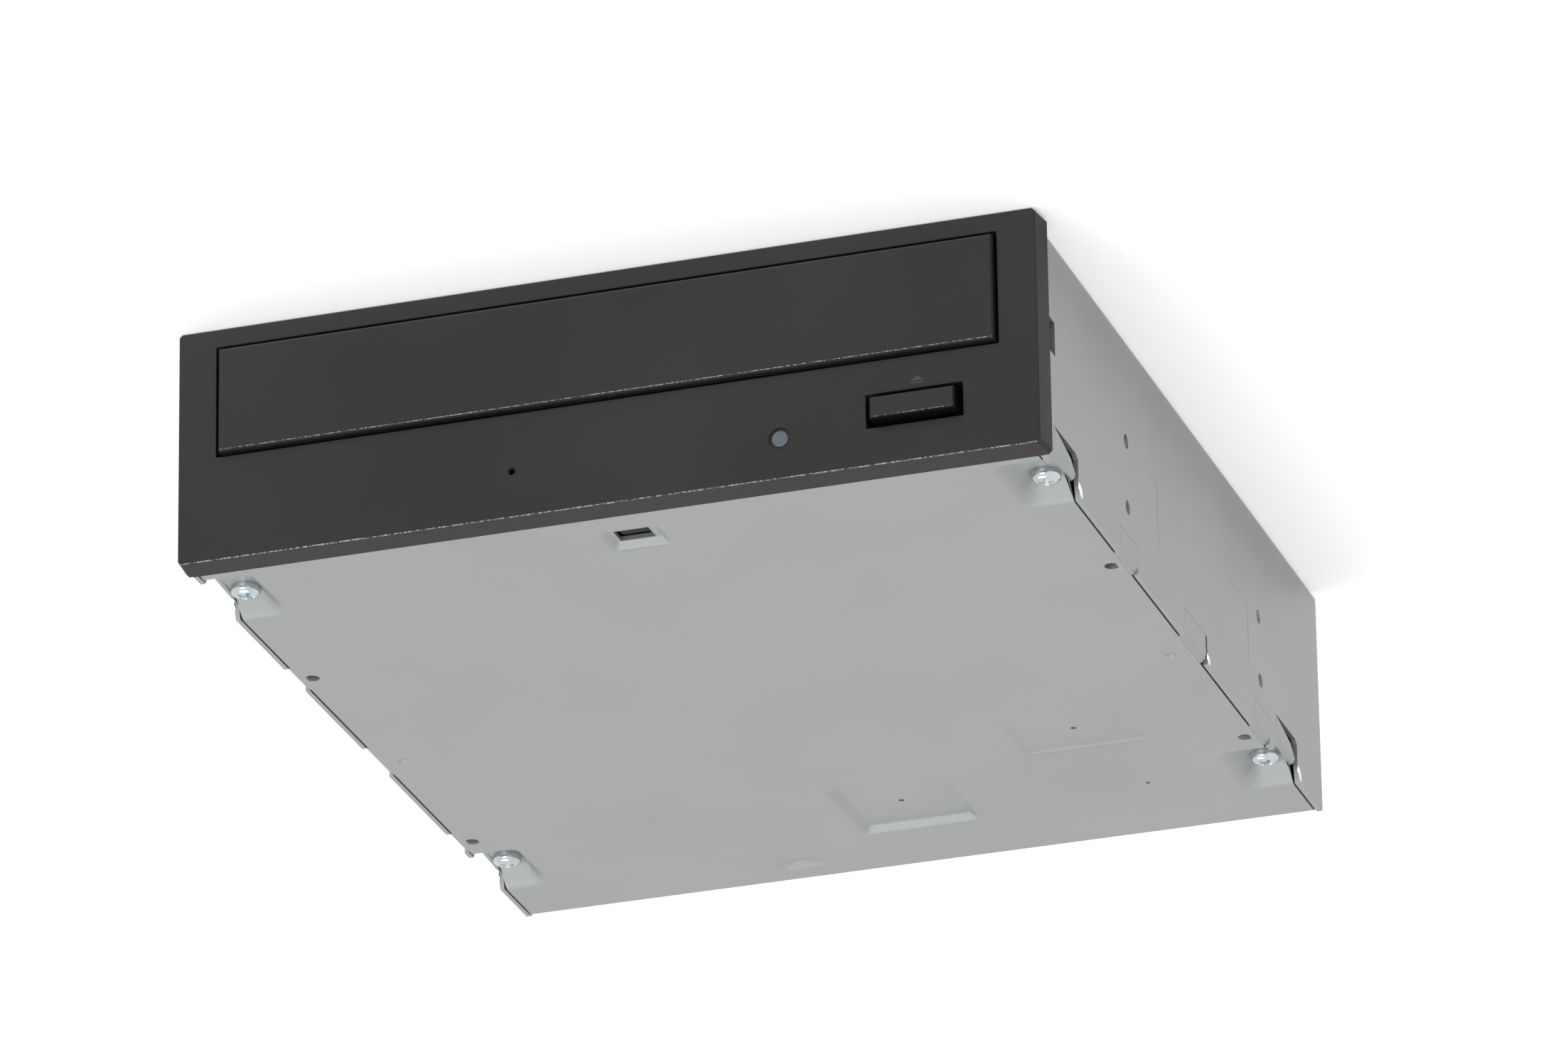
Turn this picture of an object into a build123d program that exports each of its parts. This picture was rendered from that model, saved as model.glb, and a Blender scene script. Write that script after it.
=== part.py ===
from build123d import *
import os
from math import acos, atan2, cos, pi, radians, sin, tan

# Half-height tray-loading optical disc drive.
# Millimetres. X to the right seen from the front, Y to the rear, Z up.
# While the parts are drawn, y = 0 is the bezel's front face and z = 0 the underside of the case.
# write() moves every part so that the origin is at the middle of the drive's underside.

# Case
case_width = 145.8
case_height = 41.0
drive_length = 170.0
sheet = 0.8
cover_bend = 1.5
corner_round = 1.2
rear_bend = 2.2
seam = 0.35
rear_wall_height = 16.0
top_panel_depth = 0.4
top_panel_margin = 18.0

# Mounting holes of the form factor
mount_width = 139.7
mount_pitch = 79.24
mount_setback = 47.4
side_hole_low = 10.0
side_hole_rise = 11.84
thread_radius = 1.25
thread_length = 2.5
thread_boss = 2.3

# Corner screws and the dimples that sink them
dimple_depth = 3.0
dimple_slope = 3.6
dimple_reach = 10.0
dimple_length = 18.7
front_screw_setback = 13.65
rear_screw_setback = 22.4
screw_inset = 4.0
screw_head_radius = 2.48
screw_head_height = 1.6
screw_shank_radius = 1.4
screw_length = 6.0
hole_gap = 0.15

# Bezel
bezel_side = 1.275
bezel_rise = 0.4
bezel_taper = 0.49
bezel_lip = 0.13
bezel_thickness = 5.2
bezel_wall = 2.2
bezel_round = 0.6
joint_gap = 0.15

# Tray front and its opening
door_opening_width = 134.2
door_opening_height = 19.65
door_head = 3.35
door_gap = 0.57
door_proud = 0.85
door_depth = 3.4
door_wall = 1.6
door_edge = 0.35

# Eject button, light and emergency hole
button_x = 52.75
button_z = 9.6
button_opening_width = 16.3
button_opening_height = 5.8
button_width = 14.5
button_height = 3.9
button_proud = 1.5
button_travel = 0.6
button_wall = 1.2
light_x = 30.0
light_z = 7.12
light_radius = 1.4
pinhole_x = -15.75
pinhole_z = 8.19
pinhole_radius = 0.6

# Clearances
run_gap = 0.3
shaft_gap = 0.05
over = 1.0
join = 0.1

# Disc and tray
disc_radius = 60.0
small_disc_radius = 40.0
disc_margin = 0.8
disc_setback = 5.8
tray_edge_gap = 1.9
tray_rise = 6.1
tray_height = 9.0
well_depth = 2.5
small_well_depth = 1.4
tray_skin = 1.5
tray_rail = 4.2
tray_tail = 34.5
slot_half_width = 23.0

# Tray rack and gears
rack_module = 1.0
pinion_teeth = 14
rack_steps = 42
rack_x = 42.0
rack_width = 5.0
pinion_drop = 3.4
gear_module = 0.8
drive_teeth = 36
pulley_teeth = 12
gear_thickness = 3.0
gear_setback = 26.4
pressure_angle = 20.0
backlash = 0.12
mesh_angle = 191.0
gear_bore = 1.5
gear_hub_radius = 3.6
pulley_radius = 12.0
pulley_thickness = 2.7
belt_size = 1.2
motor_pulley_radius = 3.5
motor_x = -38.0
motor_setback = 21.8
motor_radius = 10.5
motor_room = 1.8
motor_shaft = 1.0

# Loader chassis
frame_setback = 8.8
frame_wall = 2.0
floor_drop = 15.5
frame_floor = 2.0
frame_floor_length = 35.0
frame_clearance = 0.5
rail_half_inner = 54.0
rail_wall = 1.8
frame_tail = 4.0

# Cam slider and lift frame
lift_angle = 4.0
cam_slope = 0.5
cam_wall = 1.5
cam_height = 14.0
cam_flange = 1.5
cam_reach = 9.5
pin_radius = 1.2
pin_slot_gap = 0.15
pin_left = -24.0
pin_right = 28.0
lift_drop = 16.5
lift_thickness = 4.0
lift_bar = 9.0
lift_front_setback = 50.0
pivot_setback = 147.8
pivot_radius = 2.0
pivot_gap = 0.06
pin_height = 5.8

# Traverse
damper_radius = 3.8
damper_neck = 2.2
damper_height = 4.1
damper_bore = 1.2
plate_thickness = 1.2
plate_lift = 1.4
plate_half_width = 51.5
rod_radius = 1.5
rod_x = 27.0
rod_height = 1.8
rotor_radius = 13.5
rotor_wall = 0.6
spindle_radius = 1.5
turntable_radius = 15.0
disc_lift = 1.2
hub_radius = 7.35
hub_height = 2.4

# Disc clamp
clamp_play = 1.7
clamp_radius = 14.0
clamp_neck = 11.5
clamp_room = 3.8
bridge_half_length = 17.0
bridge_bore_gap = 0.8

# Pickup
pickup_start = 24.0
pickup_travel = 35.0
sled_half_width = 19.5
sled_length = 22.0
sled_top_gap = 0.9
sled_height = 7.2
lens_radius = 3.0
lens_gap = 1.2
focus_travel = 0.4
screw_pitch = 3.0
lead_radius = 1.5
lead_x = 34.9
feed_motor_radius = 5.0
feed_motor_length = 9.5

# Boards
board_z = 4.4
board_thickness = 1.2
board_half_width = 59.0
board_setback = 56.8
board_tail = 3.0
chip_height = 1.4
capacitor_room = 3.5
front_board_x = (24.0, 64.0)
front_board_top = 15.5
front_board_thickness = 1.2

# Data and power connector
connector_x = -4.0
connector_width = 44.0
connector_height = 6.4
connector_depth = 11.0
socket_depth = 6.5
socket_height = 4.3
power_socket_width = 22.0
data_socket_width = 12.0
tongue_thickness = 1.2

# Places that follow from the sizes above
half_case = case_width / 2
half_inner = half_case - sheet
bezel_width = case_width + 2 * bezel_side
bezel_height = case_height + bezel_rise
case_front = bezel_thickness + joint_gap
cover_under = case_height - sheet
mount_y = (bezel_thickness + mount_setback, bezel_thickness + mount_setback + mount_pitch)
side_hole_z = (side_hole_low, side_hole_low + side_hole_rise)
screw_x = half_case - screw_inset
screw_y = (bezel_thickness + front_screw_setback, drive_length - rear_screw_setback)
door_top = bezel_height - door_head
door_bottom = door_top - door_opening_height
door_half = door_opening_width / 2
tray_half = door_half - tray_edge_gap
tray_bottom = door_bottom + tray_rise
tray_top = tray_bottom + tray_height
well_floor = tray_top - well_depth
small_well_floor = well_floor - small_well_depth
tray_under = well_floor - tray_skin
disc_y = bezel_thickness + disc_setback + disc_radius
tray_front_y = door_depth
tray_rear_y = disc_y + disc_radius + tray_tail
tray_travel = rack_steps * pi * rack_module
frame_front = bezel_thickness + frame_setback
frame_rear = drive_length - frame_tail
frame_half = half_inner - frame_clearance
frame_floor_z = tray_bottom - floor_drop
floor_top = frame_floor_z + frame_floor
rail_top = tray_bottom - run_gap
bridge_z = tray_top + clamp_room
pinion_radius = pinion_teeth * rack_module / 2
drive_radius = drive_teeth * gear_module / 2
pulley_gear_radius = pulley_teeth * gear_module / 2
gear_x = rack_x - pinion_radius
gear_y = bezel_thickness + gear_setback
motor_y = bezel_thickness + motor_setback
gear_top = tray_under - run_gap - 1.2
pinion_low = tray_bottom - pinion_drop
pulley_low = pinion_low - pulley_thickness - 2 * run_gap
wheel_low = pulley_low - run_gap - gear_thickness
motor_top = pulley_low - 1.2
motor_low = sheet + motor_room
pivot_y = bezel_thickness + pivot_setback
lift_z = well_floor - lift_drop
pivot_z = lift_z + lift_thickness / 2 - 0.5
lift_front = bezel_thickness + lift_front_setback
lift_top = lift_z + lift_thickness
pin_z = lift_z + pin_height
plate_low = lift_top + plate_lift
plate_top = plate_low + plate_thickness
rod_z = plate_top + rod_height
disc_plane = well_floor + disc_lift
mesh_distance = drive_radius + pulley_gear_radius
pulley_x = gear_x + mesh_distance * cos(radians(mesh_angle))
pulley_y = gear_y + mesh_distance * sin(radians(mesh_angle))

# Tabs, pads and holes of the bottom plate
tab_y = (
    (mount_y[0] - 5.1, mount_y[0] + 4.9),
    (mount_y[0] + 32.5, mount_y[0] + 45.0),
    (mount_y[1] - 4.54, mount_y[1] + 4.66),
)
tab_height = 5.0
flange_height = 7.35
flange_gap = 7.1
latch_x = (-4.9, 5.6)
latch_y = (bezel_thickness + 5.8, bezel_thickness + 14.0)
latch_depth = 1.0
latch_slope = 1.4
slot_x = (-3.0, 3.0)
slot_y = (latch_y[0] + 2.3, latch_y[0] + 6.3)
pad_small_x = (32.0, 54.6)
pad_small_y = (drive_length - 60.0, drive_length - 42.6)
pad_small_depth = 0.4
pad_large_x = (-5.3, 17.0)
pad_large_y = (drive_length - 39.5, drive_length - 17.0)
pad_large_depth = 1.1
pad_slope = 2.0
pad_hole_radius = 1.25
vent_x = 48.4
vent_y = drive_length - 23.9
vent_radius = 0.9
oval_x = -19.3
oval_y = drive_length - 8.8
oval_half_length = 5.2
oval_half_width = 2.5
oval_depth = 0.4
stake_y = (mount_y[0] + mount_y[1]) / 2 + 0.4
stake_x = 68.1
stake_radius = 1.5
stake_depth = 0.5
connector_y = (drive_length - connector_depth - joint_gap, drive_length - joint_gap)
connector_z = (board_z + board_thickness, board_z + board_thickness + connector_height)

# Clip windows and marks of the cover
clip_z = (20.2, 26.2)
clip_y = (bezel_thickness + 1.0, bezel_thickness + 7.2)
top_clip_x = 41.0
top_clip_half = 3.5
mark_depth = 0.15

# Ribs, hooks and small parts of the front
rib_x = (-58.0, -36.0, 0.0, 15.0)
light_recess = 0.25
hook_thickness = 1.3
door_rib_x = (-50.0, -25.0, 0.0, 25.0, 50.0)
front_board_y = frame_front - front_board_thickness
switch_height = 3.2
switch_half = 3.0
plunger_height = 0.9
plunger_seat = 1.2
plunger_radius = 1.6
front_board_screw_x = (front_board_x[0] + 3.5, front_board_x[1] - 3.0)
front_board_screw_z = front_board_top - 2.8
board_screw_radius = 1.0
board_screw_head = 1.9
board_screw_head_height = 1.2
board_screw_length = 5.0

# Loader chassis
beam_profile = (
    (rail_half_inner, frame_floor_z), (rail_half_inner + rail_wall, frame_floor_z),
    (rail_half_inner + rail_wall, rail_top - frame_wall), (frame_half - frame_wall, rail_top - frame_wall),
    (frame_half - frame_wall, dimple_depth + sheet), (frame_half, dimple_depth + sheet), (
        frame_half, tray_top + run_gap
    ),
    (frame_half - frame_wall, tray_top + run_gap), (frame_half - frame_wall, rail_top),
    (tray_half + run_gap + rail_wall, rail_top), (tray_half + run_gap + rail_wall, tray_top - 1.0),
    (tray_half + run_gap, tray_top - 1.0), (tray_half + run_gap, rail_top), (rail_half_inner, rail_top),
)
boss_radius = 2.6
tower_y = (disc_y - bridge_half_length, disc_y + bridge_half_length)
bridge_screw_x = frame_half - 3.2
bridge_screw_y = (tower_y[0] + 3.0, tower_y[1] - 3.0)
board_rear = drive_length - board_tail
board_front = bezel_thickness + board_setback
board_screw_x = rail_half_inner + boss_radius
board_screw_y = (board_front + 4.0, board_rear - 8.0)
collar_wall = 1.8
motor_flange = 0.8
front_wall_low = dimple_depth + 2 * sheet
pivot_floor_y = frame_front + frame_floor_length
motor_ear = motor_radius + 1.2
bridge_thickness = 0.8

# Rack, gears and belt
rack_tip_x = rack_x - rack_module
rack_root_x = rack_x + 1.25 * rack_module
rack_tooth_y = gear_y
finger_x = 50.0
finger_y = 50.0
finger_half = 9.0
stiffener_x = (8.0, 24.0)
belt_seat = 0.6
belt_z = pulley_low + pulley_thickness / 2

# Cam slider and lift frame
cam_low = pin_z - cam_height + 3.2
cam_travel = (pivot_y - lift_front + 3.0) * sin(radians(lift_angle)) / cam_slope
cam_wall_y = (lift_front - 4.6, lift_front - 4.6 + cam_wall)
cam_x = (pin_left - cam_travel - 6.0, pin_right + 8.0)
release_slot_x = (pinhole_x - 2.6, pinhole_x + 2.6 + cam_travel)
release_y = (cam_wall_y[0] - 7.0, cam_wall_y[0] - 2.0)
track_flats = 6
lift_half = rail_half_inner - 0.7
damper_y = (lift_front + lift_bar / 2, pivot_y - 14.0)
damper_x = lift_half - lift_bar / 2
damper_places = [(side * damper_x, y) for side in (-1, 1) for y in damper_y]

# Traverse, spindle and clamp
sled_y = (disc_y + pickup_start - sled_length / 2 + 2.0, disc_y + pickup_start + sled_length / 2 + 2.0)
rod_span = (disc_y + 12.0, sled_y[1] + pickup_travel + 4.0)
window_y = (sled_y[0] - 1.2, sled_y[1] + pickup_travel + 1.0)
tab_thickness = 2.0
feed_y = (sled_y[1] + pickup_travel - 7.0, sled_y[1] + pickup_travel - 7.0 + feed_motor_length)
lead_tip = 0.8
motor_base_top = plate_top + 0.8
stator_z = (motor_base_top + 1.8, motor_base_top + 5.2)
rotor_z = (motor_base_top + 0.5, disc_plane - 2.6)
pole_count = 9
clamp_low = disc_plane + clamp_play
magnet_room = 7.6
cap_low = bridge_z + bridge_thickness + run_gap

# Pickup
sled_top = small_well_floor - tray_skin - sled_top_gap
sled_z = (sled_top - sled_height, sled_top)
lens_z = (sled_top + 1.0, disc_plane - lens_gap)
lens_y = disc_y + pickup_start
bush_length = 9.0
yoke_thickness = 0.8

# Boards and connector
chip_small = (sum(pad_small_x) / 2, sum(pad_small_y) / 2)
chip_large = (sum(pad_large_x) / 2, sum(pad_large_y) / 2)
socket_z = (connector_z[0] + 1.0, connector_z[0] + 1.0 + socket_height)
power_right = connector_x + connector_width / 2 - 3.0
data_left = connector_x - connector_width / 2 + 3.0
sockets = (
    (power_right - power_socket_width, power_right),
    (data_left, data_left + data_socket_width),
)


def block(x, y, z):
    """A block between three (low, high) pairs."""
    size = Box(x[1] - x[0], y[1] - y[0], z[1] - z[0])
    return Pos((x[0] + x[1]) / 2, (y[0] + y[1]) / 2, (z[0] + z[1]) / 2) * size


def disc(x, y, z, radius):
    """An upright cylinder between two heights."""
    return Pos(x, y, (z[0] + z[1]) / 2) * Cylinder(radius, z[1] - z[0])


def peg(x, y, z, radius, sides=8):
    """A small upright post with flats, inside the given radius."""
    shape = extrude(RegularPolygon(radius, sides), z[1] - z[0], dir=(0, 0, 1))
    return Pos(x, y, z[0]) * shape


def bore(x, y, z, radius, sides=6):
    """A small upright hole with flats, all outside the given radius."""
    return peg(x, y, z, radius / cos(pi / sides), sides)


def peg_along_y(x, y, z, radius, sides=8):
    return Pos(x, y[0], z) * Rot(-90, 0, 0) * extrude(
        RegularPolygon(radius, sides), y[1] - y[0], dir=(0, 0, 1)
    )


def bore_along_y(x, y, z, radius, sides=6):
    return peg_along_y(x, y, z, radius / cos(pi / sides), sides)


def peg_along_x(x, y, z, radius, sides=8):
    return Pos(x[0], y, z) * Rot(0, 90, 0) * extrude(
        RegularPolygon(radius, sides), x[1] - x[0], dir=(0, 0, 1)
    )


def bore_along_x(x, y, z, radius, sides=8):
    return peg_along_x(x, y, z, radius / cos(pi / sides), sides)


def rod_along_y(x, y, z, radius):
    return Pos(x, (y[0] + y[1]) / 2, z) * Rot(90, 0, 0) * Cylinder(radius, y[1] - y[0])


def rod_along_x(x, y, z, radius):
    return Pos((x[0] + x[1]) / 2, y, z) * Rot(0, 90, 0) * Cylinder(radius, x[1] - x[0])


def outline(points):
    return make_face(Polyline(*points, close=True))


def slab(points, z):
    """A flat outline in plan, between two heights."""
    return extrude(Pos(0, 0, z[0]) * outline(points), z[1] - z[0], dir=(0, 0, 1))


def profile_along_y(points, y):
    """A cross-section of (x, z) points, run from front to rear."""
    return extrude(Pos(0, y[0], 0) * (Plane.XZ * outline(points)), y[1] - y[0], dir=(0, 1, 0))


def profile_along_x(points, x):
    """A cross-section of (y, z) points, run from left to right."""
    return extrude(Pos(x[0], 0, 0) * (Plane.YZ * outline(points)), x[1] - x[0], dir=(1, 0, 0))


def turned(x, y, points):
    """A solid of revolution about an upright axis, from (radius, z) points."""
    return Pos(x, y, 0) * revolve(Plane.XZ * outline(points), Axis.Z)


def ring(x, y, z, outer, inner, sides=24):
    """A flat-sided ring between two heights."""
    return peg(x, y, z, outer, sides) - bore(x, y, (z[0] - over, z[1] + over), inner, sides)


def frustum(low_x, low_y, low_z, top_x, top_y, top_z):
    """A block whose rectangle changes from one height to the other."""
    across = profile_along_y(
        ((low_x[0], low_z), (low_x[1], low_z), (top_x[1], top_z), (top_x[0], top_z)),
        (min(low_y[0], top_y[0]), max(low_y[1], top_y[1])),
    )
    along = profile_along_x(
        ((low_y[0], low_z), (low_y[1], low_z), (top_y[1], top_z), (top_y[0], top_z)),
        (min(low_x[0], top_x[0]), max(low_x[1], top_x[1])),
    )
    return across & along


def both_sides(part):
    return part + mirror(part, Plane.YZ)


def emboss(sheet_part, x, y, depth, slope, open_right=False, open_left=False):
    """Press a flat-floored dimple up into the bottom plate."""
    inner_x = (x[0] if open_left else x[0] + slope, x[1] if open_right else x[1] - slope)
    inner_y = (y[0] + slope, y[1] - slope)
    hollow = frustum(x, y, 0, inner_x, inner_y, depth)
    skin = frustum(x, y, sheet, inner_x, inner_y, depth + sheet)
    return sheet_part - hollow + (skin - hollow)


def rounded_profile(half_width, bottom, top, radius):
    """A closed (x, z) outline, round at its two upper corners."""
    arch = FilletPolyline(
        (-half_width, bottom), (-half_width, top), (half_width, top), (half_width, bottom), radius=radius
    )
    return make_face(arch + Line((half_width, bottom), (-half_width, bottom)))


def case_block(half_width, y, z, top_radius, rear_radius):
    """A block with round upper side edges and round rear corners."""
    across = Pos(0, y[0], 0) * (Plane.XZ * rounded_profile(half_width, z[0], z[1], top_radius))
    along = FilletPolyline((y[0], z[0]), (y[1], z[0]), (y[1], z[1]), (y[0], z[1]), radius=rear_radius)
    side = make_face(along + Line((y[0], z[1]), (y[0], z[0])))
    lengthwise = extrude(across, y[1] - y[0], dir=(0, 1, 0))
    crosswise = extrude(Pos(-half_width, 0, 0) * (Plane.YZ * side), 2 * half_width, dir=(1, 0, 0))
    return lengthwise & crosswise


def tooth_points(teeth, module, thin):
    """The outline of a spur gear: each flank is the straight line nearest to its involute."""
    pitch = teeth * module / 2
    tip = pitch + module
    root = pitch - 1.25 * module
    base = pitch * cos(radians(pressure_angle))
    half_at_pitch = pi / (2 * teeth) - thin / (2 * pitch)

    def half_angle(radius):
        def involute(r):
            alpha = acos(min(1.0, base / r))
            return tan(alpha) - alpha
        return half_at_pitch + involute(pitch) - involute(max(radius, base))

    points = []
    for tooth in range(teeth):
        middle = 2 * pi * tooth / teeth
        flank = [(root, half_angle(base)), (tip, half_angle(tip))]
        turn = [(r, middle - a) for r, a in flank] + [(r, middle + a) for r, a in reversed(flank)]
        points += [(r * cos(a), r * sin(a)) for r, a in turn]
    return points


def gear_wheel(x, y, z, teeth, module, turn):
    """A spur gear, its first tooth pointing at the angle turn, in degrees from +X."""
    return Pos(x, y, 0) * Rot(0, 0, turn) * slab(tooth_points(teeth, module, backlash), z)


def floor_sheet():
    """The bottom plate's flat part with its rear wall bent up."""
    x = half_inner - seam
    outer = FilletPolyline(
        (case_front, 0), (drive_length, 0), (drive_length, rear_wall_height), radius=rear_bend
    )
    inner = FilletPolyline(
        (drive_length - sheet, rear_wall_height), (drive_length - sheet, sheet), (case_front, sheet),
        radius=rear_bend - sheet,
    )
    ends = Line((drive_length, rear_wall_height), (drive_length - sheet, rear_wall_height))
    front = Line((case_front, sheet), (case_front, 0))
    section = make_face(outer + ends + inner + front)
    return extrude(Pos(-x, 0, 0) * (Plane.YZ * section), 2 * x, dir=(1, 0, 0))


def dimple_span(index):
    centre = screw_y[index] + (-2.5, -0.9)[index]
    return (centre - dimple_length / 2, centre + dimple_length / 2)


def bottom_plate():
    plate = floor_sheet()
    edge = half_inner - seam
    for index in (0, 1):
        y = dimple_span(index)
        low = edge - dimple_reach + 1.0
        plate = emboss(plate, (low, edge), y, dimple_depth, dimple_slope, open_right=True)
        plate = emboss(plate, (-edge, -low), y, dimple_depth, dimple_slope, open_left=True)
    plate = emboss(plate, latch_x, latch_y, latch_depth, latch_slope)
    plate = emboss(plate, pad_small_x, pad_small_y, pad_small_depth, pad_slope)
    plate = emboss(plate, pad_large_x, pad_large_y, pad_large_depth, pad_slope)
    plate -= block(slot_x, slot_y, (-over, latch_depth + 2 * sheet))
    middle_small = (sum(pad_small_x) / 2, sum(pad_small_y) / 2)
    middle_large = (sum(pad_large_x) / 2 - 0.5, sum(pad_large_y) / 2)
    for x, y in (middle_small, middle_large):
        plate -= bore(x, y, (-over, pad_large_depth + 2 * sheet), pad_hole_radius, 12)
    plate -= bore(vent_x, vent_y, (-over, 2 * sheet), vent_radius, 8)
    plate -= oval_recess()
    for side in (-1, 1):
        for y in screw_y:
            plate -= bore(
                side * screw_x, y, (-over, dimple_depth + 2 * sheet), screw_shank_radius + hole_gap
            )
        for y in mount_y:
            plate += peg(side * mount_width / 2, y, (sheet - join, thread_length), thread_boss, 6)
            plate -= disc(side * mount_width / 2, y, (-over, thread_length + over), thread_radius)
        plate -= peg(side * stake_x, stake_y, (-over, stake_depth), stake_radius, 12)
        for y in tab_y:
            plate += side_tab(side, y, 0, tab_height, 0.6)
        for index in (0, 1):
            plate += side_tab(side, flange_y(index), dimple_depth, flange_height, 0.3)
    opening_x = (connector_x - connector_width / 2 - seam, connector_x + connector_width / 2 + seam)
    plate -= block(
        opening_x, (drive_length - 2 * sheet, drive_length + over),
        (connector_z[0] - 0.6, connector_z[1] + seam),
    )
    return plate


def oval_recess():
    """A shallow oval pressed into the plate's underside near its rear edge."""
    reach = oval_half_length - oval_half_width
    z = (-over, oval_depth)
    bar = block((oval_x - reach, oval_x + reach), (oval_y - oval_half_width, oval_y + oval_half_width), z)
    for side in (-1, 1):
        bar += peg(oval_x + side * reach, oval_y, z, oval_half_width, 12)
    return bar


def flange_y(index):
    """Where the plate's edge is bent up beside a corner dimple."""
    low, high = dimple_span(index)
    return (low + dimple_slope, high - flange_gap)


def side_tab(side, y, foot, top, bend_inside):
    """A tab bent up from the plate's edge, flush with the cover's side wall."""
    inner = half_inner - seam - 1.0
    outer = bend_points(half_case, foot, sheet + bend_inside)
    back = bend_points(half_inner, foot + sheet, bend_inside)
    tab = profile_along_y(
        (
            (inner, foot), *outer, (half_case, top), (half_inner, top),
            *reversed(back), (inner, foot + sheet),
        ),
        y,
    )
    return tab if side > 0 else mirror(tab, Plane.YZ)


def bend_points(corner_x, corner_z, radius):
    """Four points that turn a lower right corner in three flats."""
    turns = [radians(30 * step) for step in range(4)]
    return [(corner_x - radius + radius * sin(a), corner_z + radius - radius * cos(a)) for a in turns]


def top_cover():
    outer = case_block(half_case, (case_front, drive_length), (0, case_height), cover_bend, corner_round)
    inner = case_block(
        half_inner, (case_front - over, drive_length - sheet), (-over, cover_under),
        cover_bend - sheet, corner_round - sheet,
    )
    cover = outer - inner
    cover -= block(
        (-half_inner, half_inner), (case_front, drive_length + over), (-over, rear_wall_height + seam)
    )
    panel_x = half_case - top_panel_margin
    panel_y = (case_front + top_panel_margin, drive_length - top_panel_margin)
    cover -= block((-panel_x, panel_x), panel_y, (case_height - top_panel_depth, case_height + over))
    inside = (cover_under - top_panel_depth, cover_under)
    rim = 1.0
    cover += block((-panel_x - rim, panel_x + rim), (panel_y[0] - rim, panel_y[1] + rim), inside)
    for side in (-1, 1):
        wall = tuple(sorted((side * (half_inner - over), side * (half_case + over))))
        for y in tab_y:
            cover -= block(wall, (y[0] - seam, y[1] + seam), (-over, tab_height + seam))
        for index in (0, 1):
            y = dimple_span(index)
            low, high = flange_y(index)
            cover -= profile_along_x(
                (
                    (y[0] + 1.0, -1), (y[1] - 0.8, -1), (y[1] - 1.8, 2.9), (
                        y[1] - 1.8, flange_height + seam - 1.0
                    ),
                    (y[1] - 2.8, flange_height + seam), (low - seam, flange_height + seam), (
                        low - seam, 2.9
                    ),
                ),
                wall,
            )
        for y in mount_y:
            for z in side_hole_z:
                collar = peg_along_x((half_case - thread_length, half_inner + join), y, z, thread_boss, 6)
                thread = rod_along_x(
                    (half_case - thread_length - over, half_case + over), y, z, thread_radius
                )
                if side < 0:
                    collar = mirror(collar, Plane.YZ)
                    thread = mirror(thread, Plane.YZ)
                cover = cover + collar - thread
        for near, far in ((mount_y[0] + 6.0, mount_y[0] + 17.9), (mount_y[1] - 18.0, mount_y[1] - 7.0)):
            face = tuple(sorted((side * (half_case - mark_depth), side * (half_case + over))))
            cover -= block(face, (near, far), (side_hole_z[0], side_hole_z[1] - 0.35))
        cover -= block(wall, clip_y, clip_z)
        cover -= block(
            (side * top_clip_x - top_clip_half - run_gap, side * top_clip_x + top_clip_half + run_gap),
            (clip_y[0], clip_y[1]),
            (cover_under - over, case_height + over),
        )
    return cover


def frustum_along_y(front_width, back_width, front_z, back_z):
    """The bezel's outer form: it grows a little from its front face to its back."""
    upright = profile_along_x(
        ((0, front_z[0]), (bezel_thickness, back_z[0]), (bezel_thickness, back_z[1]), (0, front_z[1])),
        (-back_width / 2, back_width / 2),
    )
    plan = slab(
        (
            (-front_width / 2, 0), (front_width / 2, 0), (back_width / 2, bezel_thickness),
            (-back_width / 2, bezel_thickness),
        ),
        back_z,
    )
    body = upright & plan
    corners = [edge for edge in body.edges() if edge.bounding_box().size.Y > bezel_thickness - 0.01]
    return chamfer(corners, bezel_round)


def bezel():
    body = frustum_along_y(
        bezel_width - 2 * bezel_taper, bezel_width, (bezel_lip, bezel_height - bezel_lip), (0, bezel_height)
    )
    hollow_x = bezel_width / 2 - bezel_wall
    behind = (bezel_wall, bezel_thickness + over)
    body -= block((-hollow_x, hollow_x), behind, (bezel_wall, bezel_height - bezel_wall))
    collar = 1.4
    through = (-over, bezel_thickness + over)
    depth = (bezel_wall - join, bezel_thickness)
    body += block(
        (-door_half - collar, door_half + collar), depth, (door_bottom - collar, bezel_height - 1.0)
    )
    button_x_span = (button_x - button_opening_width / 2, button_x + button_opening_width / 2)
    button_z_span = (button_z - button_opening_height / 2, button_z + button_opening_height / 2)
    body += block(
        (button_x_span[0] - collar, button_x_span[1] + collar), depth,
        (button_z_span[0] - collar, button_z_span[1] + collar),
    )
    body += peg_along_y(light_x, depth, light_z, light_radius + 1.5)
    body += peg_along_y(pinhole_x, depth, pinhole_z, pinhole_radius + 1.6)
    for x in rib_x:
        body += block((x - 0.6, x + 0.6), depth, (bezel_wall - join, door_bottom - collar + join))
    body -= block((-door_half, door_half), through, (door_bottom, door_top))
    body -= block(button_x_span, through, button_z_span)
    body -= bore_along_y(light_x, through, light_z, light_radius + shaft_gap, 16)
    body -= bore_along_y(light_x, (-over, light_recess), light_z, light_radius + 0.5, 16)
    body -= bore_along_y(pinhole_x, through, pinhole_z, pinhole_radius, 12)
    return body + bezel_hooks()


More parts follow.
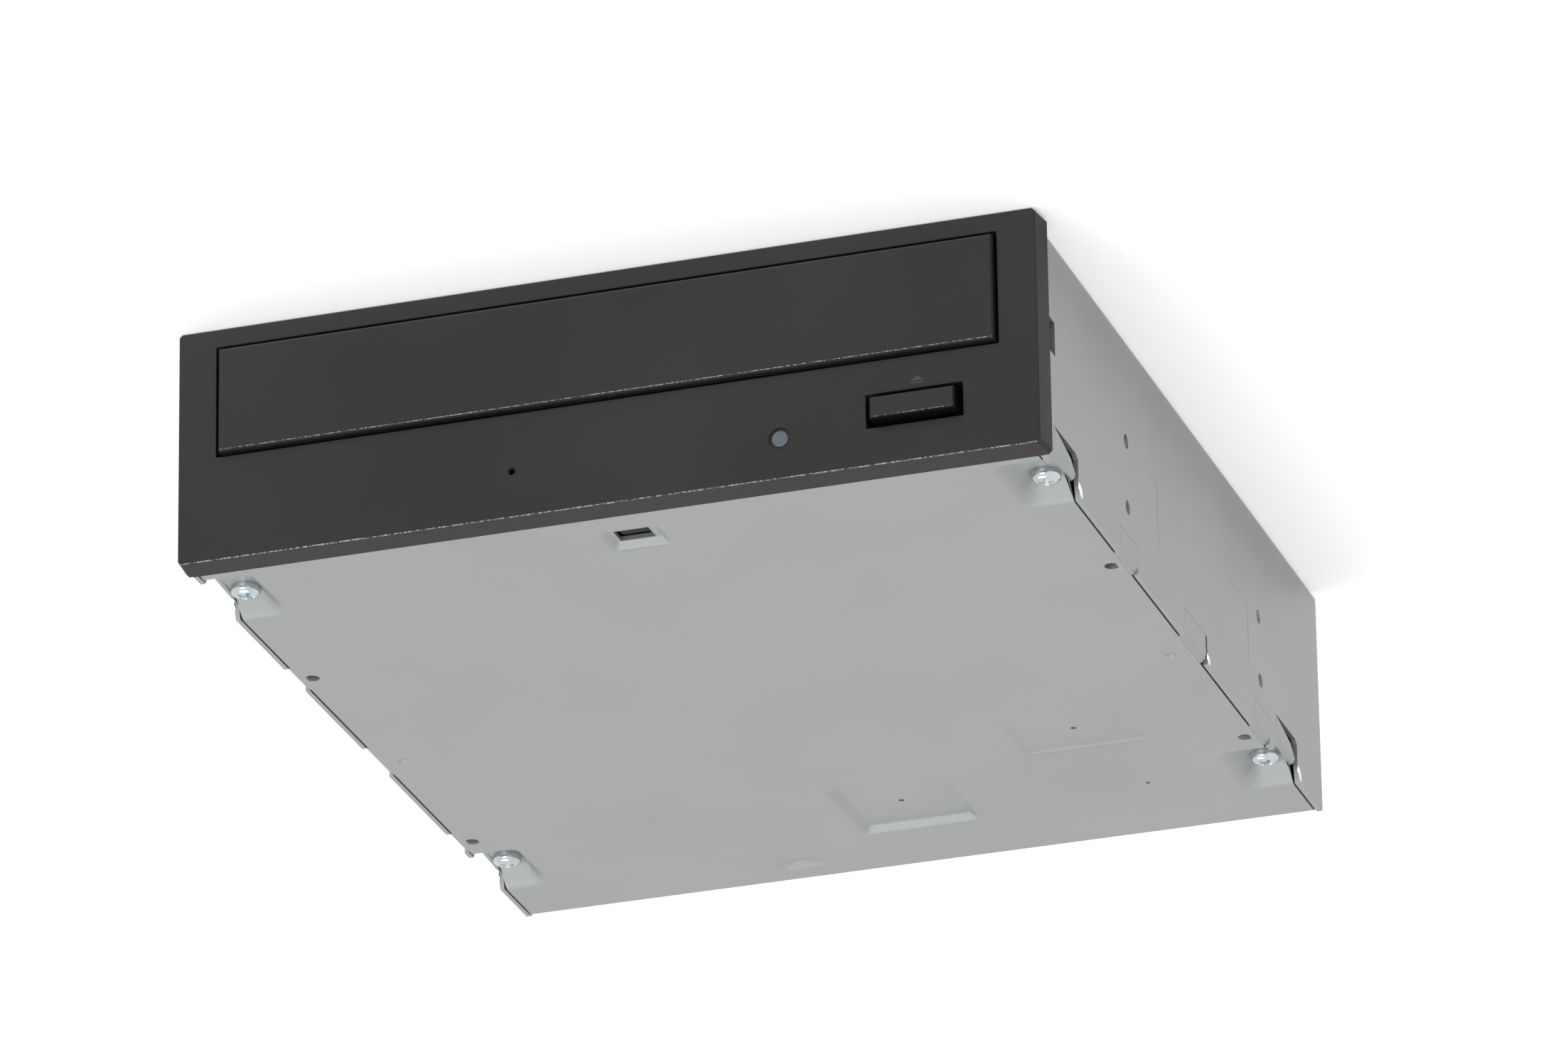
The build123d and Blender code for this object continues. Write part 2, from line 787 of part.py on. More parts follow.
def bezel_hooks():
    """Snap hooks that catch the bottom plate, both side walls and the top."""
    low = sheet + latch_depth + run_gap
    tongue_y = (bezel_wall - join, slot_y[1] - run_gap)
    nib_x = (slot_x[0] + run_gap + 0.2, slot_x[1] - run_gap - 0.2)
    hooks = profile_along_x(
        (
            (tongue_y[0], low), (slot_y[0] + run_gap, low), (slot_y[0] + run_gap, low - 0.7),
            (tongue_y[1], low - 0.2), (tongue_y[1], low + hook_thickness), (
                tongue_y[0], low + hook_thickness
            ),
        ),
        nib_x,
    )
    face = half_inner - run_gap
    side = slab(
        (
            (face - hook_thickness, bezel_wall - join), (face, bezel_wall - join), (
                face, clip_y[0] + run_gap
            ),
            (half_case - 0.2, clip_y[0] + run_gap), (face + 0.2, clip_y[1] - run_gap),
            (face - hook_thickness, clip_y[1] - run_gap),
        ),
        (clip_z[0] + run_gap, clip_z[1] - run_gap),
    )
    top = cover_under - run_gap
    for x in (-top_clip_x, top_clip_x):
        hooks += profile_along_x(
            (
                (bezel_wall - join, top - hook_thickness), (clip_y[1] - run_gap, top - hook_thickness),
                (clip_y[1] - run_gap, top + join), (clip_y[0] + run_gap, top + 0.7),
                (clip_y[0] + run_gap, top), (bezel_wall - join, top),
            ),
            (x - top_clip_half, x + top_clip_half),
        )
    return hooks + both_sides(side)


def tray_front():
    half = door_half - door_gap
    z = (door_bottom + door_gap, door_top - door_gap)
    plate = block((-half, half), (-door_proud, door_depth), z)
    front_edges = plate.faces().sort_by(Axis.Y)[0].edges()
    plate = chamfer(front_edges, door_edge)
    inside = (door_wall, door_depth + over)
    pocket = block((-half + door_wall, half - door_wall), inside, (z[0] + door_wall, z[1] - door_wall))
    for x in door_rib_x:
        pocket -= block((x - 0.6, x + 0.6), inside, z)
    return plate - pocket


def eject_button():
    x = (button_x - button_width / 2, button_x + button_width / 2)
    z = (button_z - button_height / 2, button_z + button_height / 2)
    cap = block(x, (-button_proud, bezel_thickness + 1.2), z)
    cap = chamfer(cap.faces().sort_by(Axis.Y)[0].edges(), 0.3)
    inner = block(
        (x[0] + button_wall, x[1] - button_wall), (0.6, bezel_thickness + 2), (
            z[0] + button_wall, z[1] - button_wall
        )
    )
    flange_y = (bezel_thickness + 0.2, bezel_thickness + 1.2)
    reach = (button_opening_height - button_height) / 2 + 0.8
    flange = block((x[0] - 1.6, x[1] + 1.6), flange_y, (z[0] - reach, z[1] + reach))
    stem_end = front_board_y - switch_height - plunger_height
    stem = block((button_x - 1.2, button_x + 1.2), (0.5, stem_end), (z[0] + 0.2, z[1] - 0.2))
    return (cap - inner) + (flange - inner) + stem


def eject_switch():
    y = (front_board_y - switch_height, front_board_y)
    body = block(
        (button_x - switch_half, button_x + switch_half), y,
        (button_z - switch_half, button_z + switch_half),
    )
    return body - bore_along_y(
        button_x, (y[0] - over, y[0] + plunger_seat + button_travel + 0.2), button_z,
        plunger_radius + shaft_gap,
    )


def switch_plunger():
    face = front_board_y - switch_height
    return peg_along_y(button_x, (face - plunger_height, face + plunger_seat), button_z, plunger_radius)


def light_lens():
    """The window in the bezel and the light pipe behind it, turned as one piece."""
    shape = peg_along_y(light_x, (0.1, bezel_thickness + 1.6), light_z, light_radius, 16)
    return shape + peg_along_y(
        light_x, (bezel_thickness + 0.05, bezel_thickness + 1.6), light_z, light_radius + 1.1
    )


def light_source():
    y = (bezel_thickness + 1.9, front_board_y)
    body = peg_along_y(light_x, y, light_z, 1.5)
    return body + peg_along_y(light_x, (front_board_y - 1.0, front_board_y), light_z, 2.0)


def front_board():
    board = block(front_board_x, (front_board_y, frame_front), (dimple_depth + 2 * sheet, front_board_top))
    for x in front_board_screw_x:
        board -= bore_along_y(
            x, (front_board_y - over, frame_front + over), front_board_screw_z,
            board_screw_radius + hole_gap,
        )
    return board


def case_screws():
    """The four screws in the corner dimples."""
    group = []
    for side in (-1, 1):
        for y in screw_y:
            seat = dimple_depth
            waist = seat - 0.5 * screw_head_height
            crown = loft([
                Pos(side * screw_x, y, seat - screw_head_height) * RegularPolygon(
                    0.66 * screw_head_radius, 8
                ),
                Pos(side * screw_x, y, waist) * RegularPolygon(screw_head_radius, 8),
            ], ruled=True)
            head = crown + peg(side * screw_x, y, (waist, seat), screw_head_radius)
            shank = peg(side * screw_x, y, (seat - join, seat + screw_length), screw_shank_radius, 6)
            group.append(head + shank)
    return Compound(group)


def small_screw(head_radius, head_height, radius, length):
    """A screw with its head's seat at z = 0, pointing down."""
    return peg(0, 0, (0, head_height), head_radius, 6) + peg(0, 0, (-length, 0.1), radius, 6)


def screws_at(places, head_radius, head_height, radius, length):
    return Compound([place * small_screw(head_radius, head_height, radius, length) for place in places])


def main_frame():
    beam = profile_along_y(beam_profile, (frame_front, frame_rear))
    beam += block((tray_half + run_gap, frame_half), tower_y, (bridge_z - frame_wall, bridge_z))
    beam += block((frame_half - frame_wall, frame_half), tower_y, (tray_top, bridge_z - frame_wall))
    rib_pitch = (frame_rear - frame_front - 2.0) / 4
    for step in range(5):
        y = frame_front + 1.0 + step * rib_pitch
        beam += block(
            (tray_half + run_gap, frame_half - join), (y - 0.7, y + 0.7), (rail_top - join, tray_top - 1.0)
        )
    for y in screw_y:
        beam += peg(screw_x, y, (dimple_depth + sheet, rail_top - 1), boss_radius)
        beam -= bore(screw_x, y, (0, dimple_depth + screw_length + 1.0), screw_shank_radius + shaft_gap)
    for y in mount_y:
        beam -= block(
            (frame_half - 5.5, half_case), (y - 4.0, y + 4.0), (0, side_hole_z[1] + 3.4)
        )
    for y in bridge_screw_y:
        beam -= bore(bridge_screw_x, y, (bridge_z - 6, bridge_z + over), board_screw_radius + shaft_gap)
    beam -= block(
        (rail_half_inner - over, rail_half_inner + rail_wall + over), (0, pivot_floor_y),
        (0, floor_top - join),
    )
    for y in board_screw_y:
        beam += peg(board_screw_x, y, (board_z + board_thickness, rail_top - 1), boss_radius)
        beam -= bore(
            board_screw_x, y, (0, board_z + board_thickness + board_screw_length + over),
            board_screw_radius + shaft_gap,
        )
    beam -= bore_along_x(
        (rail_half_inner - 4, rail_half_inner + rail_wall + 0.5), pivot_y, pivot_z,
        pivot_radius + pivot_gap, 16,
    )
    frame = both_sides(beam)
    frame += block(
        (-frame_half, frame_half), (frame_front, frame_front + frame_wall),
        (front_wall_low, front_board_top + 1.0),
    )
    floor_rear = frame_front + frame_floor_length
    frame += block((-frame_half + 1, frame_half - 1), (frame_front, floor_rear), (frame_floor_z, floor_top))
    frame += block(
        (-rail_half_inner - join, rail_half_inner + join), (frame_rear - 6, frame_rear),
        (connector_z[1] + 1.5, connector_z[1] + 7.0),
    )
    for x in (-62.0, 62.0):
        frame -= block(
            (x - 5, x + 5), (frame_front + 12, floor_rear - 3), (frame_floor_z - over, floor_top + over)
        )
    frame -= block(
        (-16.0, 16.0), (frame_front + 25.5, floor_rear + over), (frame_floor_z - over, floor_top + over)
    )
    for x, y, top in ((gear_x, gear_y, wheel_low), (pulley_x, pulley_y, wheel_low)):
        frame += peg(x, y, (floor_top - join, top - run_gap), gear_hub_radius)
        frame += peg(x, y, (floor_top, pinion_low - 0.6), gear_bore, 12)
    frame += peg(gear_x, gear_y, (pinion_low - over, gear_top - 0.5), gear_bore, 12)
    collar = peg(
        motor_x, motor_y, (frame_floor_z, motor_top - motor_flange), motor_radius + run_gap + collar_wall,
        16,
    )
    for side in (-1, 1):
        collar += peg(
            motor_x + side * motor_ear, motor_y, (frame_floor_z, motor_top - motor_flange), boss_radius
        )
    frame += collar
    frame -= bore(motor_x, motor_y, (0, motor_top + over), motor_radius + run_gap, 16)
    for side in (-1, 1):
        frame -= bore(
            motor_x + side * motor_ear, motor_y, (motor_top - 6, motor_top), board_screw_radius + shaft_gap
        )
    frame -= bore_along_y(
        pinhole_x, (frame_front - over, frame_front + frame_wall + over), pinhole_z, pinhole_radius + 0.6
    )
    for x in front_board_screw_x:
        frame -= bore_along_y(
            x, (frame_front - over, frame_front + frame_wall + 2), front_board_screw_z,
            board_screw_radius + shaft_gap,
        )
    frame -= block(release_slot_x, (release_y[0] - run_gap, floor_rear + over), (0, floor_top + over))
    return frame


def clamp_bridge():
    x = frame_half - 0.4
    z = (bridge_z, bridge_z + bridge_thickness)
    plate = block((-x, x), tower_y, z)
    for y in ((tower_y[0], tower_y[0] + bridge_thickness), (tower_y[1] - bridge_thickness, tower_y[1])):
        plate += block((-x + 12, x - 12), y, (z[0], z[1] + 1.0))
    plate -= bore(0, disc_y, (z[0] - over, z[1] + 2), clamp_neck + bridge_bore_gap, 20)
    for side in (-1, 1):
        for y in bridge_screw_y:
            plate -= bore(
                side * bridge_screw_x, y, (z[0] - over, z[1] + over), board_screw_radius + hole_gap
            )
        plate -= block((side * 40 - 8, side * 40 + 8), (disc_y - 8, disc_y + 8), (z[0] - over, z[1] + over))
    return plate


def rack_teeth():
    """A straight toothed edge facing left; at rest a gap of the rack faces a tooth of the pinion."""
    pitch = pi * rack_module
    lean = tan(radians(pressure_angle))
    half = pitch / 4 - backlash / 2
    count_front = 3
    count_rear = rack_steps
    start = rack_tooth_y - count_front * pitch
    points = [(rack_x + rack_width, start - pitch / 2), (rack_root_x, start - pitch / 2)]
    for tooth in range(count_front + count_rear):
        middle = start + (tooth + 0.5) * pitch
        root_half = half + 1.25 * rack_module * lean
        tip_half = half - rack_module * lean
        points += [
            (rack_root_x, middle - root_half), (rack_tip_x, middle - tip_half),
            (rack_tip_x, middle + tip_half), (rack_root_x, middle + root_half),
        ]
    end = start + (count_front + count_rear) * pitch
    points += [(rack_root_x, end), (rack_x + rack_width, end)]
    return slab(points, (tray_bottom, tray_under + join))


def disc_tray():
    y = (tray_front_y, tray_rear_y)
    deck = block((-tray_half, tray_half), y, (tray_under, tray_top))
    rail = profile_along_y(
        (
            (tray_half - 1.6, tray_bottom), (tray_half, tray_bottom), (tray_half, tray_under + join),
            (tray_half - tray_rail, tray_under + join), (tray_half - tray_rail, tray_under - 0.8), (
                tray_half - 1.6, tray_under - 0.8
            ),
        ),
        y,
    )
    tray = deck + both_sides(rail)
    well = turned(
        0, disc_y,
        (
            (0, small_well_floor), (small_disc_radius + disc_margin, small_well_floor),
            (small_disc_radius + disc_margin, well_floor), (disc_radius + disc_margin, well_floor),
            (disc_radius + disc_margin + 1.6, tray_top + join), (0, tray_top + join),
        ),
    )
    cup = peg(
        0, disc_y, (small_well_floor - tray_skin, well_floor), small_disc_radius + disc_margin + 2.5, 32
    )
    tray = tray + cup - well
    tray += block((-tray_half, tray_half), (y[0], y[0] + 1.8), (tray_bottom, tray_under + join))
    slot_round = disc(0, disc_y, (tray_bottom - over, tray_top + over), slot_half_width)
    slot = block(
        (-slot_half_width, slot_half_width), (disc_y, y[1] + over), (tray_bottom - over, tray_top + over)
    )
    tray -= slot_round + slot
    for side in (-1, 1):
        tray -= block(
            (side * finger_x - finger_half, side * finger_x + finger_half), (
                disc_y - finger_y - 7, disc_y - finger_y + 7
            ),
            (well_floor - 0.8, tray_top + over),
        )
    tray += rack_teeth()
    for x in stiffener_x:
        tray += block(
            (x - 0.6, x + 0.6), (y[0] + over, disc_y - slot_half_width - 8),
            (tray_under - 1.6, tray_under + join),
        )
        tray += block(
            (-x - 0.6, -x + 0.6), (y[0] + over, disc_y - slot_half_width - 8),
            (tray_under - 1.6, tray_under + join),
        )
    for x in (-60.0, -30.0, 30.0, 60.0):
        tray += block((x - 2, x + 2), (door_wall + 0.2, y[0] + over), (tray_under - 2, tray_under + 1.5))
    return tray


def drive_gear():
    """The large wheel and the pinion above it, moulded in one."""
    wheel = gear_wheel(
        gear_x, gear_y, (wheel_low, wheel_low + gear_thickness), drive_teeth, gear_module, mesh_angle
    )
    web = (wheel_low + gear_thickness - 0.9, wheel_low + gear_thickness + over)
    wheel -= peg(gear_x, gear_y, web, drive_radius - 2.4, 16)
    hub = peg(gear_x, gear_y, (wheel_low, pinion_low + 0.5), gear_hub_radius, 12)
    pinion = gear_wheel(gear_x, gear_y, (pinion_low, gear_top), pinion_teeth, rack_module, 0.0)
    gear = wheel + hub + pinion
    return gear - bore(gear_x, gear_y, (wheel_low - over, gear_top + over), gear_bore + shaft_gap, 12)


def grooved_wheel(x, y, z, radius, groove, sides=24):
    """A flat pulley with a square belt groove."""
    middle = (z[0] + z[1]) / 2
    half = belt_size / 2 + 0.1
    core = peg(x, y, z, radius - groove, sides)
    lower = peg(x, y, (z[0], middle - half), radius + 0.6, sides)
    return core + lower + peg(x, y, (middle + half, z[1]), radius + 0.6, sides)


def belt_pulley():
    turn = mesh_angle + 180.0 + 180.0 / pulley_teeth
    small = gear_wheel(pulley_x, pulley_y, (wheel_low, pulley_low + join), pulley_teeth, gear_module, turn)
    wheel = grooved_wheel(
        pulley_x, pulley_y, (pulley_low, pulley_low + pulley_thickness), pulley_radius, belt_seat, 20
    )
    return small + wheel - bore(
        pulley_x, pulley_y, (wheel_low - over, pulley_low + pulley_thickness + over), gear_bore + shaft_gap,
        12,
    )


def motor_pulley():
    z = (pulley_low, pulley_low + pulley_thickness)
    wheel = grooved_wheel(motor_x, motor_y, z, motor_pulley_radius, belt_seat, 12)
    return wheel + peg(motor_x, motor_y, (motor_low + 2, pulley_low + join), motor_shaft)


def drive_belt():
    """A square belt lying in the two pulley grooves."""
    low, high = belt_z - belt_size / 2, belt_z + belt_size / 2
    loops = []
    for extra in (shaft_gap, shaft_gap + belt_size):
        large = (pulley_radius - belt_seat + extra) / cos(pi / 24)
        small = (motor_pulley_radius - belt_seat + extra) / cos(pi / 16)
        ends = Pos(pulley_x, pulley_y) * RegularPolygon(large, 24) + Pos(motor_x, motor_y) * RegularPolygon(
            small, 16
        )
        loops.append(make_hull(ends.edges()))
    return extrude(Pos(0, 0, low) * (loops[1] - loops[0]), high - low, dir=(0, 0, 1))


def load_motor():
    can = peg(motor_x, motor_y, (motor_low, motor_top), motor_radius, 16)
    for side in (-1, 1):
        ear = peg(motor_x + side * motor_ear, motor_y, (motor_top - motor_flange, motor_top), boss_radius)
        can += ear - bore(
            motor_x + side * motor_ear, motor_y, (0, motor_top + over), board_screw_radius + hole_gap
        )
    can += peg(motor_x, motor_y, (motor_top - join, motor_top + 0.7), 2.6)
    return can - bore(motor_x, motor_y, (motor_low + over, motor_top + 2), motor_shaft + shaft_gap)


def track_points(high, low, half_width):
    """The outline of a straight sloping slot, each end a half circle in flats."""
    reach = half_width / cos(pi / (2 * track_flats))
    lean = atan2(high[1] - low[1], high[0] - low[0])
    points = []
    for end, start in ((high, lean - pi / 2), (low, lean + pi / 2)):
        for step in range(track_flats + 1):
            turn = start + pi * step / track_flats
            points.append((end[0] + reach * cos(turn), end[1] + reach * sin(turn)))
    return points


def cam_slider():
    z = (cam_low, cam_low + cam_height)
    slider = block(cam_x, cam_wall_y, z)
    flange_z = (floor_top + run_gap, floor_top + run_gap + cam_flange)
    slider += block(cam_x, (cam_wall_y[0] - cam_reach, cam_wall_y[1]), flange_z)
    for x in (cam_x[0] + 1.0, 0.0, cam_x[1] - 1.0):
        slider += profile_along_x(
            (
                (cam_wall_y[0] + join, z[1] - 4), (cam_wall_y[0] + join, flange_z[0]),
                (cam_wall_y[0] - 1.8, flange_z[1] - join),
            ),
            (x - 0.6, x + 0.6),
        )
    width = pin_radius + pin_slot_gap
    drop = cam_travel * cam_slope
    for x in (pin_left, pin_right):
        track = track_points((x, pin_z), (x - cam_travel, pin_z - drop), width)
        slider -= profile_along_y(track, (cam_wall_y[0] - over, cam_wall_y[1] + over))
    foot = frustum(
        (pinhole_x - 2.0, pinhole_x + 2.0), (release_y[1] - 1.0, release_y[1]), pinhole_z - 1.6,
        (pinhole_x - 2.0, pinhole_x + 2.0), release_y, flange_z[1] - join,
    )
    return slider + foot


def lift_frame():
    rear = pivot_y + 4.6
    z = (lift_z, lift_top)
    ring = block((-lift_half, lift_half), (lift_front, rear), z)
    inner = block(
        (-lift_half + lift_bar, lift_half - lift_bar), (lift_front + lift_bar, rear - lift_bar),
        (z[0] - over, z[1] + over),
    )
    groove = block(
        (-lift_half + lift_bar - 2, lift_half - lift_bar + 2), (
            lift_front + lift_bar - 2, rear - lift_bar + 2
        ),
        (z[0] - over, z[1] - 1.6),
    )
    ring -= inner + groove
    for x in (pin_left, pin_right):
        ring += block((x - 2.5, x + 2.5), (lift_front, lift_front + 2.5), (z[0], pin_z + 2.0))
        ring += peg_along_y(x, (cam_wall_y[0] - 0.6, lift_front + join), pin_z, pin_radius)
    for side in (-1, 1):
        pin = peg_along_x(
            (lift_half - join, rail_half_inner + rail_wall), pivot_y, pivot_z, pivot_radius, 16
        )
        ring += pin if side > 0 else mirror(pin, Plane.YZ)
        for y in damper_y:
            ring -= bore(side * damper_x, y, (z[1] - 3.5, z[1] + over), board_screw_radius + shaft_gap)
    return ring


def damper_solid(x, y):
    top = lift_top + damper_height
    neck = (plate_low - shaft_gap, plate_top + shaft_gap)
    body = peg(x, y, (lift_top, neck[0]), damper_radius, 6) + peg(x, y, (neck[1], top), damper_radius, 6)
    body += peg(x, y, (lift_top, top), damper_neck, 6)
    return body - bore(x, y, (lift_top - over, top + over), damper_bore)


def dampers():
    return Compound([damper_solid(x, y) for x, y in damper_places])


def damper_screws():
    places = [Pos(x, y, lift_top + damper_height) for x, y in damper_places]
    return screws_at(places, 2.2, 1.1, board_screw_radius, damper_height + 2.8)


def traverse_plate():
    z = (plate_low, plate_top)
    plate = block((-plate_half_width, plate_half_width), (lift_front + 0.5, pivot_y - 5.0), z)
    plate -= block((-rod_x - 4.5, rod_x + 4.5), window_y, (z[0] - over, z[1] + over))
    feed_side = lead_x + feed_motor_radius + 0.8
    plate -= block((rod_x, feed_side), (window_y[0], feed_y[1] + run_gap), (z[0] - over, z[1] + over))
    for x, y in damper_places:
        plate -= bore(x, y, (z[0] - over, z[1] + over), damper_neck + shaft_gap)
    for x in (pin_left, pin_right):
        plate -= block(
            (x - 2.5 - run_gap, x + 2.5 + run_gap), (lift_front, lift_front + 2.5 + run_gap),
            (z[0] - over, z[1] + over),
        )
    for side in (-1, 1):
        for y in (
            (rod_span[0], rod_span[0] + tab_thickness),
            (window_y[1] + 0.3, window_y[1] + 0.3 + tab_thickness),
        ):
            plate += block((side * rod_x - 2.6, side * rod_x + 2.6), y, (z[0], rod_z + 2.2))
        plate -= bore_along_y(side * rod_x, (rod_span[0] - over, rod_span[1] + 9), rod_z, rod_radius + 0.01)
    plate += block(
        (lead_x - 2.2, lead_x + 2.6), (window_y[0] - 3.0, window_y[0] - 3.0 + tab_thickness),
        (z[0], rod_z + 1.4),
    )
    plate -= bore_along_y(lead_x, (window_y[0] - 4, window_y[0]), rod_z, lead_tip + shaft_gap)
    bracket_y = (feed_y[0] - 1.0, feed_y[0])
    plate += block(
        (lead_x - feed_motor_radius + 0.6, lead_x + feed_motor_radius + 0.2), bracket_y, (z[0], rod_z + 4.2)
    )
    plate += block((lead_x, lead_x + feed_motor_radius + 2.5), bracket_y, z)
    plate -= bore_along_y(lead_x, (feed_y[0] - 2, feed_y[0] + over), rod_z, lead_radius + 0.6)
    plate -= bore(0, disc_y, (z[0] - over, z[1] + over), 4.0, 12)
    for x in (-16.0, 16.0):
        plate -= bore(x, disc_y + 8.0, (z[0] - over, z[1] + over), board_screw_radius + hole_gap)
    return plate


def guide_rods():
    end = window_y[1] + 0.3 + tab_thickness
    return Compound(
        [peg_along_y(side * rod_x, (rod_span[0], end), rod_z, rod_radius, 12) for side in (-1, 1)]
    )


def spindle_base():
    """The spindle motor's mounting plate and its bearing tube."""
    z = (plate_top, motor_base_top)
    base = peg(0, disc_y, z, rotor_radius + 0.4, 16) + block((-20, 20), (disc_y + over, disc_y + 10.5), z)
    base += peg(0, disc_y, (plate_low - 0.5, rotor_z[1] - rotor_wall - 0.4), 3.4, 12)
    base -= bore(0, disc_y, (plate_low + 0.4, rotor_z[1] + over), spindle_radius + shaft_gap, 12)
    for x in (-16.0, 16.0):
        base -= bore(x, disc_y + 8.0, (z[0] - over, z[1] + over), board_screw_radius + hole_gap)
    return base


def stator():
    """The wound core: nine poles round the bearing tube."""
    points = []
    for pole in range(pole_count):
        middle = 2 * pi * pole / pole_count
        for radius, turn in (
            (6.0, -0.26), (9.6, -0.14), (10.8, -0.24), (10.8, 0.24), (9.6, 0.14), (6.0, 0.26)
        ):
            points.append((radius * cos(middle + turn), disc_y + radius * sin(middle + turn)))
    return slab(points, stator_z) - bore(0, disc_y, (stator_z[0] - over, stator_z[1] + over), 3.4, 12)


def rotor():
    """The rotor can, with the spindle pressed into its middle."""
    can = peg(0, disc_y, rotor_z, rotor_radius, 20)
    can -= bore(0, disc_y, (rotor_z[0] - over, rotor_z[1] - rotor_wall), rotor_radius - 1.6, 16)
    return can + peg(0, disc_y, (plate_low + 0.8, rotor_z[1] - join), spindle_radius, 12)


def turntable():
    step = disc_plane - 0.9
    table = peg(0, disc_y, (rotor_z[1], step), turntable_radius, 20)
    hub = peg(0, disc_y, (step - join, disc_plane + 0.8), hub_radius, 16)
    return table + hub + peg(0, disc_y, (disc_plane + 0.7, disc_plane + hub_height), hub_radius - 1.1, 16)


def friction_ring():
    return ring(
        0, disc_y, (disc_plane - 0.9, disc_plane), turntable_radius - 0.3, turntable_radius - 3.6, 16
    )


def disc_clamp():
    ceiling = disc_plane + hub_height + 0.6
    body = peg(0, disc_y, (clamp_low, bridge_z - 1.0), clamp_radius, 20)
    body += peg(0, disc_y, (bridge_z - 1.1, cap_low), clamp_neck, 20)
    body -= bore(0, disc_y, (clamp_low - over, ceiling), hub_radius + 0.9, 16)
    return body - bore(0, disc_y, (ceiling + 0.8, cap_low + over), magnet_room, 16)


def clamp_magnet():
    ceiling = disc_plane + hub_height + 1.4
    magnet = peg(0, disc_y, (ceiling, ceiling + 1.6), 7.4, 12)
    return magnet - bore(0, disc_y, (ceiling - over, ceiling + 3), 2.5)


def clamp_cap():
    top = cap_low + 0.9
    cap = peg(0, disc_y, (cap_low, top), clamp_radius + 1.0, 20)
    for turn in range(3):
        slot = block((9.0, 10.6), (-2.5, 2.5), (cap_low - over, top + over))
        cap -= Pos(0, disc_y, 0) * Rot(0, 0, 120.0 * turn) * slot
    return cap


def pickup_sled():
    sled = block((-sled_half_width, sled_half_width), sled_y, sled_z)
    sled = chamfer(sled.edges().filter_by(Axis.Z), 3.0)
    sled -= block((-7.5, 7.5), (sled_y[0] + 9.0, sled_y[0] + 17.5), (sled_z[0] + 1.2, sled_z[1] - 2.2))
    sled -= block(
        (-sled_half_width + 2.5, sled_half_width - 2.5), (sled_y[0] + 3, sled_y[1] - 3),
        (sled_z[0] - over, sled_z[0] + 2.2),
    )
    for y in ((sled_y[0] + 1.0, sled_y[0] + 6.0), (sled_y[1] - 6.0, sled_y[1] - 1.0)):
        arm = block((-rod_x - 2.8, -sled_half_width + 0.2), y, (rod_z - 2.6, rod_z + 2.6))
        sled += arm - bore_along_y(-rod_x, (y[0] - over, y[1] + over), rod_z, rod_radius + shaft_gap)
    middle = sum(sled_y) / 2
    fork = block(
        (sled_half_width - 0.2, rod_x + 2.6), (middle - 2.5, middle + 2.5), (rod_z - 2.6, rod_z + 2.6)
    )
    fork -= block(
        (rod_x - rod_radius - 0.6, rod_x + 4), (middle - 4, middle + 4),
        (rod_z - rod_radius - shaft_gap, rod_z + rod_radius + shaft_gap),
    )
    sled += fork
    return sled


def feed_nut():
    """The toothed finger that runs on the lead screw."""
    middle = sum(sled_y) / 2 - 6.5
    y = (middle - screw_pitch, middle + screw_pitch)
    finger = block((lead_x - 2.6, lead_x + 2.6), y, (rod_z - 2.4, rod_z + 2.4))
    finger -= bore_along_y(lead_x, (y[0] - over, y[1] + over), rod_z, lead_radius + 0.08)
    arm = profile_along_y(
        (
            (sled_half_width, rod_z + 2.8), (lead_x, rod_z + 2.8), (lead_x + 2.6, rod_z + 2.3),
            (lead_x - 2.6, rod_z + 2.3), (rod_x + 2.9, rod_z + 2.0), (sled_half_width, rod_z + 2.0),
        ),
        y,
    )
    return finger + arm


def actuator_yoke():
    """The steel base with the two magnets that face the lens holder."""
    base = block((-10.5, 10.5), (lens_y - 6.5, lens_y + 6.5), (sled_top, sled_top + yoke_thickness))
    base -= block((-4.2, 4.2), (lens_y - 4.2, lens_y + 4.2), (sled_top - over, sled_top + 2))
    for side in (-1, 1):
        y = tuple(sorted((lens_y + side * 5.6, lens_y + side * 6.5)))
        base += block((-5.0, 5.0), y, (sled_top, lens_z[1] - 0.6))
    return base


def actuator_magnets():
    magnets = []
    for side in (-1, 1):
        y = tuple(sorted((lens_y + side * 4.6, lens_y + side * 5.6)))
        magnets.append(block((-4.6, 4.6), y, (sled_top + yoke_thickness, lens_z[1] - 0.7)))
    return Compound(magnets)


def lens_holder():
    half_y = 4.6 - run_gap - 0.1
    z = (lens_z[0] + 0.4, lens_z[1] - focus_travel)
    holder = block((-8.0, 8.0), (lens_y - half_y, lens_y + half_y), z)
    for x in (-3.4, 3.4):
        holder -= bore(x, lens_y, (z[0] - over, z[1] + over), 2.3)
        holder -= bore(x, lens_y, (z[1] - 0.6, z[1] + over), lens_radius, 16)
    return holder


def lenses():
    top = lens_z[1] - focus_travel
    group = []
    for x in (-3.4, 3.4):
        group.append(
            peg(x, lens_y, (top - 0.6, top - 0.1), lens_radius - 0.05, 16)
        )
    return Compound(group)


def lead_screw():
    start = window_y[0] - 3.0
    thread = peg_along_y(lead_x, (window_y[0] - 0.6, feed_y[0] + 0.5), rod_z, lead_radius, 12)
    return thread + peg_along_y(lead_x, (start, feed_y[1] - 1.0), rod_z, lead_tip)


def feed_motor():
    can = peg_along_y(lead_x, feed_y, rod_z, feed_motor_radius, 16)
    can -= bore_along_y(lead_x, (feed_y[0] - over, feed_y[0] + 1.0), rod_z, lead_radius + 0.3)
    return can - bore_along_y(lead_x, (feed_y[0] - over, feed_y[1] - 0.5), rod_z, lead_tip + shaft_gap)


